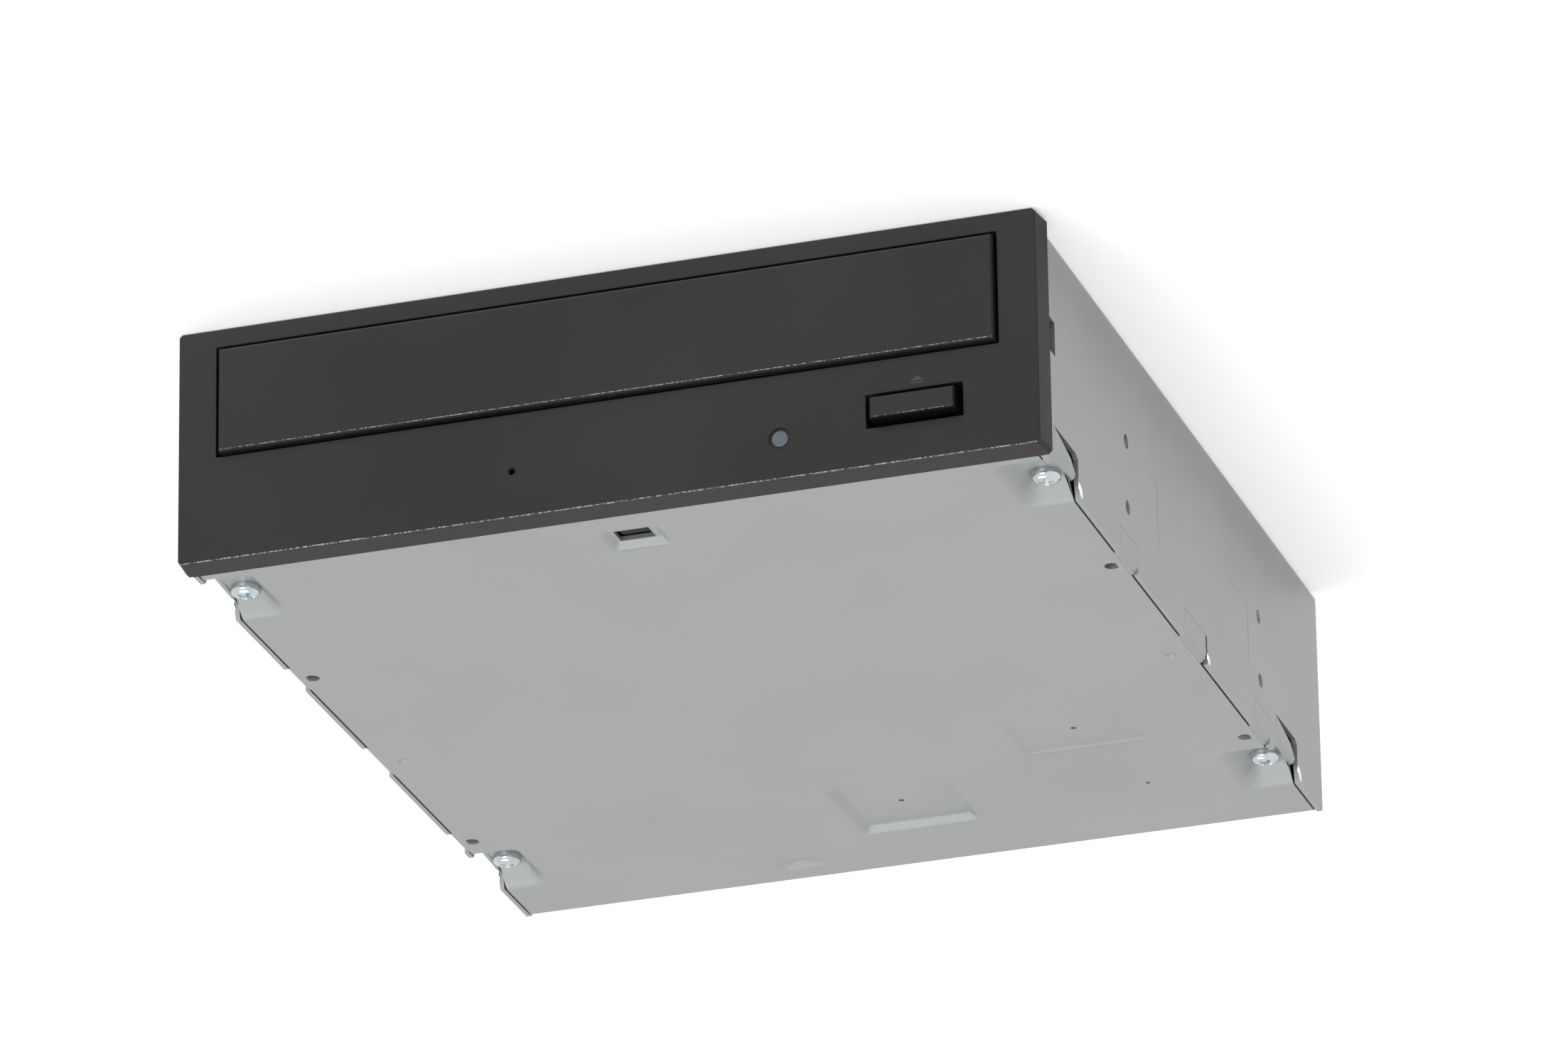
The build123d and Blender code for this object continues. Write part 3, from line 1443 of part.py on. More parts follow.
def main_board():
    y = (board_front, board_rear)
    board = block((-board_half_width, board_half_width), y, (board_z, board_z + board_thickness))
    for side in (-1, 1):
        for hole_y in board_screw_y:
            board -= bore(
                side * board_screw_x, hole_y, (board_z - over, board_z + 3), board_screw_radius + hole_gap
            )
    return board


def chips():
    low = board_z - chip_height
    group = [
        block(
            (chip_large[0] - 7.5, chip_large[0] + 7.5), (chip_large[1] - 7.5, chip_large[1] + 7.5),
            (low, board_z),
        ),
        block(
            (chip_small[0] - 5.0, chip_small[0] + 5.0), (chip_small[1] - 4.5, chip_small[1] + 4.5),
            (low, board_z),
        ),
        block((-34.0, -22.0), (chip_large[1] - 10.0, chip_large[1] - 2.0), (low, board_z)),
        block((-31.0, -26.0), (chip_large[1] - 28.0, chip_large[1] - 22.0), (low + 0.4, board_z)),
    ]
    return Compound(group)


def thermal_pads():
    low = board_z - chip_height
    return Compound([
        block(
            (chip_large[0] - 6.0, chip_large[0] + 6.0), (chip_large[1] - 6.0, chip_large[1] + 6.0),
            (sheet + pad_large_depth, low),
        ),
        block(
            (chip_small[0] - 5.0, chip_small[0] + 5.0), (chip_small[1] - 4.5, chip_small[1] + 4.5),
            (sheet + pad_small_depth, low),
        ),
    ])


def capacitors():
    top = board_z + board_thickness
    places = ((-42.0, 22.0), (-42.0, 13.0), (46.0, 12.0))
    return Compound(
        [peg(x, board_rear - back, (top, lift_z - capacitor_room), 2.6, 12) for x, back in places]
    )


def flex_sockets():
    top = board_z + board_thickness
    return Compound([
        block((x - w / 2, x + w / 2), (board_front + 10, board_front + 14), (top, top + 2.0))
        for x, w in ((-20.0, 24.0), (16.0, 14.0), (38.0, 10.0))
    ])


def data_power_connector():
    x = (connector_x - connector_width / 2, connector_x + connector_width / 2)
    body = block(x, connector_y, connector_z)
    for span in sockets:
        body -= block(span, (connector_y[1] - socket_depth, connector_y[1] + over), socket_z)
        tongue_z = (sum(socket_z) / 2 - tongue_thickness / 2, sum(socket_z) / 2 + tongue_thickness / 2)
        tongue = block(
            (span[0] + 1.0, span[1] - 1.0), (connector_y[1] - socket_depth - join, connector_y[1] - 0.4),
            tongue_z,
        )
        key = block(
            (span[1] - 2.2, span[1] - 1.0), (connector_y[1] - socket_depth - join, connector_y[1] - 0.4),
            (tongue_z[0], tongue_z[1] + 1.0),
        )
        body += tongue + key
    return body


def connector_contacts():
    """Flat contacts on the upper faces of both tongues, and their tails on the board."""
    face = sum(socket_z) / 2 - tongue_thickness / 2
    group = []
    for span, count in zip(sockets, (15, 7)):
        for index in range(count):
            x = span[0] + 2.2 + index * 1.27
            group.append(
                block(
                    (x - 0.3, x + 0.3), (connector_y[1] - socket_depth, connector_y[1] - 1.0),
                    (face - 0.15, face),
                )
            )
    return Compound(group)


def motor_screws():
    places = [Pos(motor_x + side * motor_ear, motor_y, motor_top) for side in (-1, 1)]
    return screws_at(places, 1.7, 0.6, board_screw_radius, 4.5)


def bridge_screws():
    places = [
        Pos(side * bridge_screw_x, y, bridge_z + bridge_thickness)
        for side in (-1, 1) for y in bridge_screw_y
    ]
    return screws_at(
        places, board_screw_head, board_screw_head_height, board_screw_radius, board_screw_length
    )


def board_screws():
    """Main board screws from below, and the front board's pair."""
    places = [
        Pos(side * board_screw_x, y, board_z) * Rot(180, 0, 0)
        for side in (-1, 1) for y in board_screw_y
    ]
    places += [Pos(x, front_board_y, front_board_screw_z) * Rot(90, 0, 0) for x in front_board_screw_x]
    return screws_at(
        places, board_screw_head, board_screw_head_height, board_screw_radius,
        frame_wall + front_board_thickness,
    )


def spindle_screws():
    places = [Pos(x, disc_y + 8.0, motor_base_top) for x in (-16.0, 16.0)]
    return screws_at(places, 1.8, 0.6, board_screw_radius, 2.6)


def tray_switch():
    """The small switch on the floor that feels the tray arrive."""
    body = block((56.0, 62.0), (frame_front + 5.0, frame_front + 10.0), (floor_top, floor_top + 4.0))
    lever = block((58.4, 59.6), (frame_front + 7.0, frame_front + 8.2), (floor_top + 3.9, floor_top + 7.5))
    return body + lever


def write(name, part):
    """Save one part, moved so that the drive's middle is at the origin."""
    middle = (drive_length - button_proud) / 2
    moved = Pos(0, -middle, 0) * part
    export_step(moved, f"parts/{name}.step")


parts = {
    "bottom_plate": bottom_plate, "top_cover": top_cover, "case_screws": case_screws,
    "bezel": bezel, "light_lens": light_lens, "light_source": light_source,
    "front_board": front_board, "eject_switch": eject_switch, "main_frame": main_frame,
    "clamp_bridge": clamp_bridge, "bridge_screws": bridge_screws, "tray_switch": tray_switch,
    "load_motor": load_motor, "motor_screws": motor_screws, "drive_belt": drive_belt,
    "main_board": main_board, "chips": chips, "thermal_pads": thermal_pads, "capacitors": capacitors,
    "flex_sockets": flex_sockets, "data_power_connector": data_power_connector,
    "connector_contacts": connector_contacts, "board_screws": board_screws,
    "tray_front": tray_front, "disc_tray": disc_tray, "drive_gear": drive_gear,
    "belt_pulley": belt_pulley, "motor_pulley": motor_pulley,
    "eject_button": eject_button, "switch_plunger": switch_plunger, "cam_slider": cam_slider,
    "lift_frame": lift_frame, "dampers": dampers, "damper_screws": damper_screws,
    "traverse_plate": traverse_plate, "guide_rods": guide_rods, "feed_motor": feed_motor,
    "spindle_base": spindle_base, "stator": stator, "spindle_screws": spindle_screws,
    "rotor": rotor, "turntable": turntable, "friction_ring": friction_ring,
    "disc_clamp": disc_clamp, "clamp_magnet": clamp_magnet, "clamp_cap": clamp_cap,
    "pickup_sled": pickup_sled, "feed_nut": feed_nut, "actuator_yoke": actuator_yoke,
    "actuator_magnets": actuator_magnets, "lens_holder": lens_holder, "lenses": lenses,
    "lead_screw": lead_screw,
}

os.makedirs("parts", exist_ok=True)
for name, make in parts.items():
    write(name, make())
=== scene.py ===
from math import cos, pi, radians, sin

import bmesh
import bpy
from mathutils import Matrix, Vector


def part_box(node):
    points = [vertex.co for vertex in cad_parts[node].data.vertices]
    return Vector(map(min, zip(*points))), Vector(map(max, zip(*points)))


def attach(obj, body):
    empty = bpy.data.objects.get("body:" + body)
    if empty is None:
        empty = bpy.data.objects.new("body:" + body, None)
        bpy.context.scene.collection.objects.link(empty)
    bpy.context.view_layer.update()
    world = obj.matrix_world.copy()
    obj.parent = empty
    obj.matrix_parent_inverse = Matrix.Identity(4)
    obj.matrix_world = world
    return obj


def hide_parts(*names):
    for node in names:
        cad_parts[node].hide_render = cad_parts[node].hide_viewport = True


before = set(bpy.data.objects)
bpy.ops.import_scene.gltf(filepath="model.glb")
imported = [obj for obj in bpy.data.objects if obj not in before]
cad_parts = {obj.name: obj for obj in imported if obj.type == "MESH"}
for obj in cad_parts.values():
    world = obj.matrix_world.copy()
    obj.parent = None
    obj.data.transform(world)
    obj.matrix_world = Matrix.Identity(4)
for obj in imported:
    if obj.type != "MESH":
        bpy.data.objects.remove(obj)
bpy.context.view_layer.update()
scene = bpy.context.scene

# Camera, fitted to the photograph through the drive's mounting holes
SENSOR = 36.0
LENS = 251.30
CAMERA_PLACE = (0.52534, -1.61933, -0.70036)
FORWARD = Vector((-0.28190413, 0.8745238, 0.39463678)).normalized()
RIGHT = Vector((0.94979462, 0.31255385, -0.01415163))

# Places on the drive, in millimetres: x from its middle, y from the bezel's front face, z from
# the underside of its case
MM = 0.001
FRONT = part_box("bezel")[0].y
SHEET = 0.8
HALF_CASE = 72.9
HALF_INNER = 72.1

# Pressed forms of the bottom plate
LATCH_X = (-4.9, 5.6)
LATCH_Y = (11.0, 19.2)
FRONT_PAD_X = (32.0, 54.6)
FRONT_PAD_Y = (110.0, 127.4)
REAR_PAD_X = (-5.3, 17.0)
REAR_PAD_Y = (130.5, 153.0)
CORNER_X = (62.75, 71.75)
CORNER_Y = ((7.0, 25.7), (137.35, 156.05))
CORNER_SLOPE = 3.6
CORNER_SOFT = (4.2, 3.4, 5.4)

# Small round forms of the bottom plate: how far they reach, and the share that is left of them
PLATE_HOLES = ((43.3, 118.7), (5.35, 141.75), (48.4, 146.1))
HOLE_REACH = 1.3
HOLE_SHARE = 0.38
STAKE = (68.1, 92.62)
STAKE_REACH = 1.55
OVAL = (-19.3, 161.2)
OVAL_REACH = 6.0
OVAL_TALL = 5.2 / 2.5
OVAL_DEPTH = 0.4
OVAL_DEEPEST = 0.65

# The ends of the plate's side flanges, drawn back and down
FLANGE_END = (18.6, 148.95)
FLANGE_LOW = 2.9
FLANGE_MIDDLE = 5.0
FLANGE_UPPER_SHIFT = (1.2, 2.0)
FLANGE_LOWER_SHIFT = (3.6, 0.6)

# Case screws
SCREW_X = 68.9
SCREW_Y = (18.85, 147.6)
SCREW_SEAT = 3.0
SCREW_TURNS = {(-1, 0): 38.0, (1, 0): 12.0, (-1, 1): 24.0, (1, 1): 50.0}
HEAD_RADIUS = 2.48
HEAD_HEIGHT = 1.75
HEAD_SEGMENTS = 40
CROWN_STEPS = 8
CROSS_REACH = 1.65
CROSS_WIDTH = 0.72
CROSS_Z = (-2.2, -0.15)
CROSS_TAPER = 0.42

# Threaded mounting holes
MOUNT_X = 69.85
MOUNT_Y = (52.6, 131.84)
SIDE_HOLE_Z = (10.0, 21.84)
THREAD_REACH = 1.75

# Tabs in the side walls: front end, rear end, top, and the gap left at the rear end
TABS = ((47.5, 57.5, 5.0, 0.06), (85.1, 97.6, 5.0, 0.9), (127.3, 136.5, 5.0, 0.06),
        (10.6, 22.9, 7.35, 0.06), (140.95, 153.25, 7.35, 0.06))
SEAM = 0.35
FINE_SEAM = 0.06
MARK_DEPTH = 0.15
MARK_LEFT = 0.03

# Rolled lips behind the walls' cut-outs, shown with a painted highlight: y, z and half their length
LIPS = ((24.8, 1.7, 1.5), (155.15, 1.7, 1.5), (98.9, 1.0, 1.1))
LIP_TURN = -50.0
LIP_THICK = 0.3
LIP_SLIM = 0.3
LIP_INSET = 0.02

# The eject sign over the button
SIGN_X = 53.3
SIGN_Z = 13.35
SIGN_THICK = 0.03
SIGN_SHAPES = (
    ((-1.1, 0.5), (1.1, 0.5), (0.0, 1.4)),
    ((-1.1, 0.0), (1.1, 0.0), (1.1, 0.3), (-1.1, 0.3)),
)

# Rounded edges, in metres
EDGE = 0.0001
WIDER_EDGE = {"main_frame": 0.0003, "disc_tray": 0.0004, "clamp_bridge": 0.0002}

# Stage and light
FLOOR_HALF = 6.0
FLOOR_GLOW = 0.28
CARD_X = (74.4, 90.0)
CARD_Y = (6.0, 170.0)
CARD_Z = 41.7
WORLD_LIGHT = 0.77
LAMP_TARGET = (0, 0, 0.02)
LAMPS = (
    ("key_below", (-0.25, -1.3, -0.9), 0.9, 7.0),
    ("slope_light", (-0.34, 0.19, -1.13), 0.7, 1.3),
    ("key_above", (-0.7, -0.8, 1.3), 1.0, 9.0),
)


def add_camera(right, forward):
    data = bpy.data.cameras.new("camera")
    data.sensor_fit = "HORIZONTAL"
    data.sensor_width = SENSOR
    data.lens = LENS
    data.clip_start = 0.05
    data.clip_end = 20.0
    camera = bpy.data.objects.new("camera", data)
    scene.collection.objects.link(camera)
    right = (right - forward * right.dot(forward)).normalized()
    up = -forward.cross(right)
    turn = Matrix((right, up, -forward)).transposed()
    camera.matrix_world = Matrix.Translation(CAMERA_PLACE) @ turn.to_4x4()
    scene.camera = camera


# Materials

def linear(value):
    """A linear level from a 0 to 255 display level."""
    level = min(1.0, value / 255.0)
    return level / 12.92 if level <= 0.04045 else ((level + 0.055) / 1.055) ** 2.4


def rgb(red, green, blue):
    return (linear(red), linear(green), linear(blue), 1.0)


def scaled(colour, share):
    return (*[min(1.0, part * share) for part in colour[:3]], 1.0)


class Nodes:
    """A small helper for building one node material."""

    def __init__(self, name):
        self.material = bpy.data.materials.new(name)
        self.material.use_nodes = True
        self.tree = self.material.node_tree
        self.shader = self.tree.nodes["Principled BSDF"]
        self.output = self.tree.nodes["Material Output"]
        self.place = self.add("ShaderNodeTexCoord").outputs["Object"]

    def add(self, kind, **settings):
        node = self.tree.nodes.new(kind)
        for key, value in settings.items():
            setattr(node, key, value)
        return node

    def link(self, output, socket):
        self.tree.links.new(output, socket)

    def set(self, **values):
        for key, value in values.items():
            self.shader.inputs[key.replace("_", " ")].default_value = value

    def noise(self, scale, detail=3.0, roughness=0.5):
        node = self.add("ShaderNodeTexNoise")
        node.inputs["Scale"].default_value = scale
        node.inputs["Detail"].default_value = detail
        node.inputs["Roughness"].default_value = roughness
        self.link(self.place, node.inputs["Vector"])
        return node.outputs["Fac"]

    def blend(self, grain, share, cloud):
        """A share of the fine grain on top of the slow cloud."""
        node = self.add("ShaderNodeMath", operation="MULTIPLY_ADD")
        node.inputs[1].default_value = share
        self.link(grain, node.inputs[0])
        self.link(cloud, node.inputs[2])
        return node.outputs[0]

    def ramp(self, factor, low, high, start=0.3, end=0.7):
        node = self.add("ShaderNodeValToRGB")
        node.color_ramp.elements[0].position = start
        node.color_ramp.elements[1].position = end
        node.color_ramp.elements[0].color = low
        node.color_ramp.elements[1].color = high
        self.link(factor, node.inputs["Fac"])
        return node.outputs["Color"]

    def span(self, factor, low, high, start=0.3, end=0.7):
        node = self.add("ShaderNodeMapRange")
        node.inputs["From Min"].default_value = start
        node.inputs["From Max"].default_value = end
        node.inputs["To Min"].default_value = low
        node.inputs["To Max"].default_value = high
        self.link(factor, node.inputs["Value"])
        return node.outputs["Result"]

    def bump(self, height, strength, distance):
        node = self.add("ShaderNodeBump")
        node.inputs["Strength"].default_value = strength
        node.inputs["Distance"].default_value = distance
        self.link(height, node.inputs["Height"])
        self.link(node.outputs["Normal"], self.shader.inputs["Normal"])

    def mix(self, factor, first, second):
        """The surface is the first shader where the factor is 0 and the second where it is 1."""
        node = self.add("ShaderNodeMixShader")
        self.link(factor, node.inputs[0])
        self.link(first.outputs[0], node.inputs[1])
        self.link(second.outputs[0], node.inputs[2])
        self.link(node.outputs[0], self.output.inputs["Surface"])


def zinc_sheet(name, low, high, rough=(0.46, 0.54)):
    """Zinc-coated steel: even satin grey with a very fine grain."""
    n = Nodes(name)
    grain = n.noise(2400.0, 3.0, 0.6)
    mixed = n.blend(grain, 0.35, n.noise(28.0))
    n.link(n.ramp(mixed, low, high, 0.5, 0.85), n.shader.inputs["Base Color"])
    n.link(n.span(grain, *rough), n.shader.inputs["Roughness"])
    n.bump(grain, 0.06, 0.00002)
    n.set(Metallic=0.85)
    return n.material


def moulded(name, low, high, grain=3200.0, depth=0.00005, rough=(0.46, 0.6), shine=0.5):
    """Spark-eroded moulded plastic."""
    n = Nodes(name)
    fine = n.noise(grain, 3.0, 0.6)
    mixed = n.blend(fine, 0.4, n.noise(22.0, 2.0))
    n.link(n.ramp(mixed, low, high, 0.5, 0.9), n.shader.inputs["Base Color"])
    n.link(n.span(fine, *rough), n.shader.inputs["Roughness"])
    n.bump(fine, 0.35, depth)
    n.set(Specular_IOR_Level=shine)
    return n.material


def speckled_edge(name, dark, light):
    """Painted highlight for the moulding's lowest outer edge: bright grains on charcoal, standing in for
    light caught by the grained edge.
    """
    n = Nodes(name)
    grain = n.noise(2300.0, 2.0, 0.7)
    n.link(n.ramp(grain, dark, light, 0.44, 0.62), n.shader.inputs["Base Color"])
    n.link(n.span(grain, 0.35, 0.6), n.shader.inputs["Roughness"])
    n.bump(grain, 0.5, 0.00006)
    n.set(Specular_IOR_Level=0.3)
    return n.material


def plain_metal(name, colour, rough, scale=300.0):
    n = Nodes(name)
    grain = n.noise(scale)
    n.link(n.ramp(grain, scaled(colour, 0.86), scaled(colour, 1.12)), n.shader.inputs["Base Color"])
    n.link(n.span(grain, rough * 0.85, rough * 1.2), n.shader.inputs["Roughness"])
    n.set(Metallic=1.0)
    return n.material


def glassy(name, colour, rough):
    n = Nodes(name)
    haze = n.noise(500.0)
    n.link(n.ramp(haze, scaled(colour, 0.85), colour), n.shader.inputs["Base Color"])
    n.link(n.span(haze, rough, rough * 2), n.shader.inputs["Roughness"])
    n.set(IOR=1.5)
    return n.material


MATERIALS = {
    "case": zinc_sheet("zinc_case", rgb(163, 166, 165), rgb(167, 170, 169)),
    "bezel": moulded("charcoal_bezel", rgb(36, 33, 32), rgb(43, 40, 39), shine=0.25),
    "door": moulded("charcoal_door", rgb(32, 32, 32), rgb(39, 39, 39), shine=0.25),
    # Painted highlight: the bright grains of the lowest front edges stand in for light caught there.
    "edge": speckled_edge("bezel_edge_painted_highlight", rgb(50, 48, 47), rgb(180, 175, 172)),
    # Painted shade: the near-black button sides stand in for the shadow inside the button's opening.
    "shade": moulded("button_side_painted_shade", rgb(14, 13, 13), rgb(18, 17, 17), shine=0.1),
    "mark": moulded("eject_mark_ink", rgb(46, 45, 44), rgb(53, 52, 51), 900.0, 0.00001),
    "thread": plain_metal("cut_thread", rgb(226, 228, 228), 0.4),
    # Painted highlight: near-white metal, far brighter than the case's zinc, so the lips shine.
    "painted_lip_highlight": plain_metal("bent_lip_painted_highlight", rgb(252, 252, 252), 0.2),
    "screw": plain_metal("bright_zinc", rgb(196, 204, 206), 0.16),
    "inner_steel": zinc_sheet("inner_steel", rgb(150, 152, 153), rgb(172, 174, 175)),
    "black_abs": moulded("black_chassis", rgb(34, 34, 35), rgb(44, 44, 45), 2600.0),
    "white_pom": moulded("natural_acetal", rgb(222, 220, 212), rgb(236, 234, 228), 1500.0, 0.00002),
    "lens": glassy("light_window", rgb(88, 95, 102), 0.2),
    "pickup_lens": glassy("objective_glass", rgb(70, 80, 110), 0.05),
    "pcb": moulded("green_board", rgb(24, 84, 52), rgb(34, 98, 62), 900.0, 0.00002, (0.3, 0.42)),
    "chip": moulded("chip_epoxy", rgb(32, 32, 34), rgb(42, 42, 44), 1800.0),
    "pad": moulded("thermal_pad", rgb(150, 160, 176), rgb(166, 176, 190), 700.0),
    "gold": plain_metal("contact_gold", rgb(214, 178, 98), 0.25),
    "rubber": moulded("soft_rubber", rgb(26, 26, 27), rgb(36, 36, 37), 1500.0, 0.00004, (0.7, 0.85)),
    "motor": plain_metal("motor_can", rgb(178, 180, 182), 0.3),
    "steel_rod": plain_metal("ground_rod", rgb(196, 198, 200), 0.16),
    "magnet": plain_metal("magnet_nickel", rgb(150, 150, 152), 0.4),
    "copper": plain_metal("winding_copper", rgb(190, 112, 66), 0.4, 900.0),
    "diecast": zinc_sheet("die_cast_zinc", rgb(140, 142, 144), rgb(158, 160, 162), (0.5, 0.65)),
    "capacitor": moulded("capacitor_sleeve", rgb(40, 44, 60), rgb(52, 56, 74), 900.0),
    "connector": moulded("connector_nylon", rgb(30, 30, 31), rgb(40, 40, 41), 1800.0),
}

FINISHED = {
    "case": ("bottom_plate", "top_cover"),
    "bezel": ("bezel", "tray_front", "eject_button"),
    "screw": ("case_screws", "bridge_screws", "motor_screws", "board_screws", "damper_screws",
              "spindle_screws"),
    "inner_steel": ("clamp_bridge", "traverse_plate", "spindle_base", "clamp_cap", "actuator_yoke"),
    "black_abs": ("main_frame", "disc_tray", "lift_frame", "turntable", "lens_holder"),
    "white_pom": ("light_source", "flex_sockets", "drive_gear", "belt_pulley", "motor_pulley",
                  "switch_plunger", "cam_slider", "disc_clamp", "feed_nut"),
    "lens": ("light_lens",),
    "pickup_lens": ("lenses",),
    "pcb": ("front_board", "main_board"),
    "chip": ("eject_switch", "tray_switch", "chips"),
    "pad": ("thermal_pads",),
    "gold": ("connector_contacts",),
    "rubber": ("drive_belt", "dampers", "friction_ring"),
    "motor": ("load_motor", "feed_motor", "rotor"),
    "steel_rod": ("guide_rods", "lead_screw"),
    "magnet": ("clamp_magnet", "actuator_magnets"),
    "copper": ("stator",),
    "diecast": ("pickup_sled",),
    "capacitor": ("capacitors",),
    "connector": ("data_power_connector",),
}
FINISH = {node: material for material, nodes in FINISHED.items() for node in nodes}
REPLACED = ("bottom_plate", "top_cover", "bezel", "tray_front", "eject_button", "case_screws")


# Shaping

def at(x, y, z):
    return Vector((x * MM, FRONT + y * MM, z * MM))


def place_of(vert):
    """A vertex's place on the drive, in millimetres."""
    return vert.co.x / MM, (vert.co.y - FRONT) / MM, vert.co.z / MM


class Press:
    """A form pressed up into the bottom plate, as the solid has it and as the real sheet bends."""

    def __init__(self, x, y, depth, slope, soft, step=0.55, open_right=False, open_left=False):
        self.x = x
        self.y = y
        self.depth = depth
        self.slope = slope
        self.soft = soft
        self.step = step
        self.open_right = open_right
        self.open_left = open_left

    def distances(self, x, y):
        far = 1000.0
        left = far if self.open_left else x - self.x[0]
        right = far if self.open_right else self.x[1] - x
        return left, right, y - self.y[0], self.y[1] - y

    def straight(self, x, y):
        """The height of the solid's sheet."""
        return self.depth * max(0.0, min(1.0, min(self.distances(x, y)) / self.slope))

    def pressed(self, x, y):
        """The height with soft bends and round corners."""
        left, right, front, rear = self.distances(x, y)
        side, fore, back = self.soft
        height = self.depth
        for distance, width in ((left, side), (right, side), (front, fore), (rear, back)):
            share = max(0.0, min(1.0, distance / width))
            height *= share * share * (3 - 2 * share)
        return height


PRESSES = [
    Press(LATCH_X, LATCH_Y, 1.0, 1.4, (1.5, 1.3, 1.9), 0.6),
    Press(FRONT_PAD_X, FRONT_PAD_Y, 0.4, 2.0, (1.3, 1.3, 1.1)),
    Press(REAR_PAD_X, REAR_PAD_Y, 1.1, 2.0, (2.2, 1.6, 2.3)),
]
for span in CORNER_Y:
    PRESSES.append(Press(CORNER_X, span, SCREW_SEAT, CORNER_SLOPE, CORNER_SOFT, 0.6, open_right=True))
    PRESSES.append(Press((-CORNER_X[1], -CORNER_X[0]), span, SCREW_SEAT, CORNER_SLOPE, CORNER_SOFT, 0.6,
                         open_left=True))


def level(face):
    """Whether the face belongs to the sheet's upper or lower side."""
    return abs(face.normal.z) > 0.3


def inside(face, press, margin=0.01):
    centre = face.calc_center_median()
    x, y = centre.x / MM, (centre.y - FRONT) / MM
    return (press.x[0] - margin < x < press.x[1] + margin) and (press.y[0] - margin < y < press.y[1] + margin)


def near(bm, press):
    """The sheet's faces over a pressed form."""
    low = at(press.x[0], press.y[0], 0)
    high = at(press.x[1], press.y[1], 0)
    out = []
    for face in bm.faces:
        if not level(face):
            continue
        xs = [vert.co.x for vert in face.verts]
        ys = [vert.co.y for vert in face.verts]
        if max(xs) > low.x and min(xs) < high.x and max(ys) > low.y and min(ys) < high.y:
            out.append(face)
    return out


def cut(bm, faces, axis, place):
    """Cut these faces along the plane at one x or y place."""
    edges = list({edge for face in faces for edge in face.edges})
    verts = list({vert for face in faces for vert in face.verts})
    point, normal = (at(place, 0, 0), (1, 0, 0)) if axis == 0 else (at(0, place, 0), (0, 1, 0))
    bmesh.ops.bisect_plane(bm, geom=faces + edges + verts, dist=1e-7, plane_co=point, plane_no=normal)


def soften(bm, press):
    """Cut the sheet finely over a pressed form and bend it as a press does."""
    spans = (press.x, press.y)
    for axis, ends in enumerate(spans):
        for end in ends:
            cut(bm, near(bm, press), axis, end)
    for axis, (start, end) in enumerate(spans):
        count = max(2, round((end - start) / press.step))
        for index in range(1, count):
            faces = [face for face in bm.faces if level(face) and inside(face, press)]
            cut(bm, faces, axis, start + (end - start) * index / count)
    for vert in bm.verts:
        x, y, z = place_of(vert)
        if not (press.x[0] < x + 0.01 and x < press.x[1] + 0.01 and press.y[0] < y < press.y[1]):
            continue
        drawn = press.straight(x, y)
        for lift in (0.0, SHEET):
            if abs(z - drawn - lift) < 0.02:
                vert.co.z = (press.pressed(x, y) + lift) * MM
                break


def draw_in(bm, x, y, reach, share, low=-0.1, high=4.0, tall=1.0):
    """Make a small round form smaller about its middle."""
    for vert in bm.verts:
        from_middle = (vert.co.x / MM - x, ((vert.co.y - FRONT) / MM - y) * tall)
        if Vector(from_middle).length < reach and low < vert.co.z / MM < high:
            vert.co.x = (x + from_middle[0] * share) * MM
            vert.co.y = FRONT + (y + from_middle[1] / tall * share) * MM


def soften_oval(bm):
    """The rear oval as a smooth bowl: its wall leans in to a small low middle."""
    draw_in(bm, *OVAL, OVAL_REACH, 0.3, OVAL_DEPTH - 0.1, OVAL_DEPTH + 0.1, OVAL_TALL)
    for vert in bm.verts:
        x, y, z = place_of(vert)
        if abs(z - OVAL_DEPTH) < 0.02 and abs(x - OVAL[0]) < 3.0 and abs(y - OVAL[1]) < 1.5:
            vert.co.z = OVAL_DEEPEST * MM


def draw_flange_ends(bm):
    """Draw the rear ends of the plate's side flanges back and down."""
    for vert in bm.verts:
        for end in FLANGE_END:
            if abs(vert.co.x) > 70.5 * MM and abs(vert.co.y - FRONT - end * MM) < 0.05 * MM:
                if vert.co.z > FLANGE_LOW * MM:
                    upper = vert.co.z > FLANGE_MIDDLE * MM
                    back, down = FLANGE_UPPER_SHIFT if upper else FLANGE_LOWER_SHIFT
                    vert.co.y += back * MM
                    vert.co.z -= down * MM


def close_seams(bm):
    """Bring the edges of the wall's cut-outs up to the tabs and make its marks shallow."""
    for vert in bm.verts:
        x, y, z = place_of(vert)
        x = abs(x)
        if x < HALF_INNER - 0.05:
            continue
        for low, high, top, rear_gap in TABS:
            if z > top + SEAM + 0.05 or not (low - SEAM - 0.05 < y < high + SEAM + 0.05):
                continue
            if abs(z - top - SEAM) < 0.02:
                vert.co.z = (top + FINE_SEAM) * MM
            if abs(y - low + SEAM) < 0.02:
                vert.co.y = FRONT + (low - FINE_SEAM) * MM
            if abs(y - high - SEAM) < 0.02:
                vert.co.y = FRONT + (high + rear_gap) * MM
        if abs(x - HALF_CASE + MARK_DEPTH) < 0.02:
            vert.co.x += (MARK_DEPTH - MARK_LEFT) * MM * (1 if vert.co.x > 0 else -1)


def shine_threads(bm, axis, places):
    """Give the walls of the threaded holes along one axis a bright cut finish."""
    for face in bm.faces:
        if abs(face.normal[axis]) > 0.3:
            continue
        centre = face.calc_center_median()
        spot = (abs(centre.x) / MM, (centre.y - FRONT) / MM, centre.z / MM)
        pair = (spot[0], spot[1]) if axis == 2 else (spot[1], spot[2])
        if any((Vector(pair) - Vector(place)).length < THREAD_REACH for place in places):
            face.material_index = 1


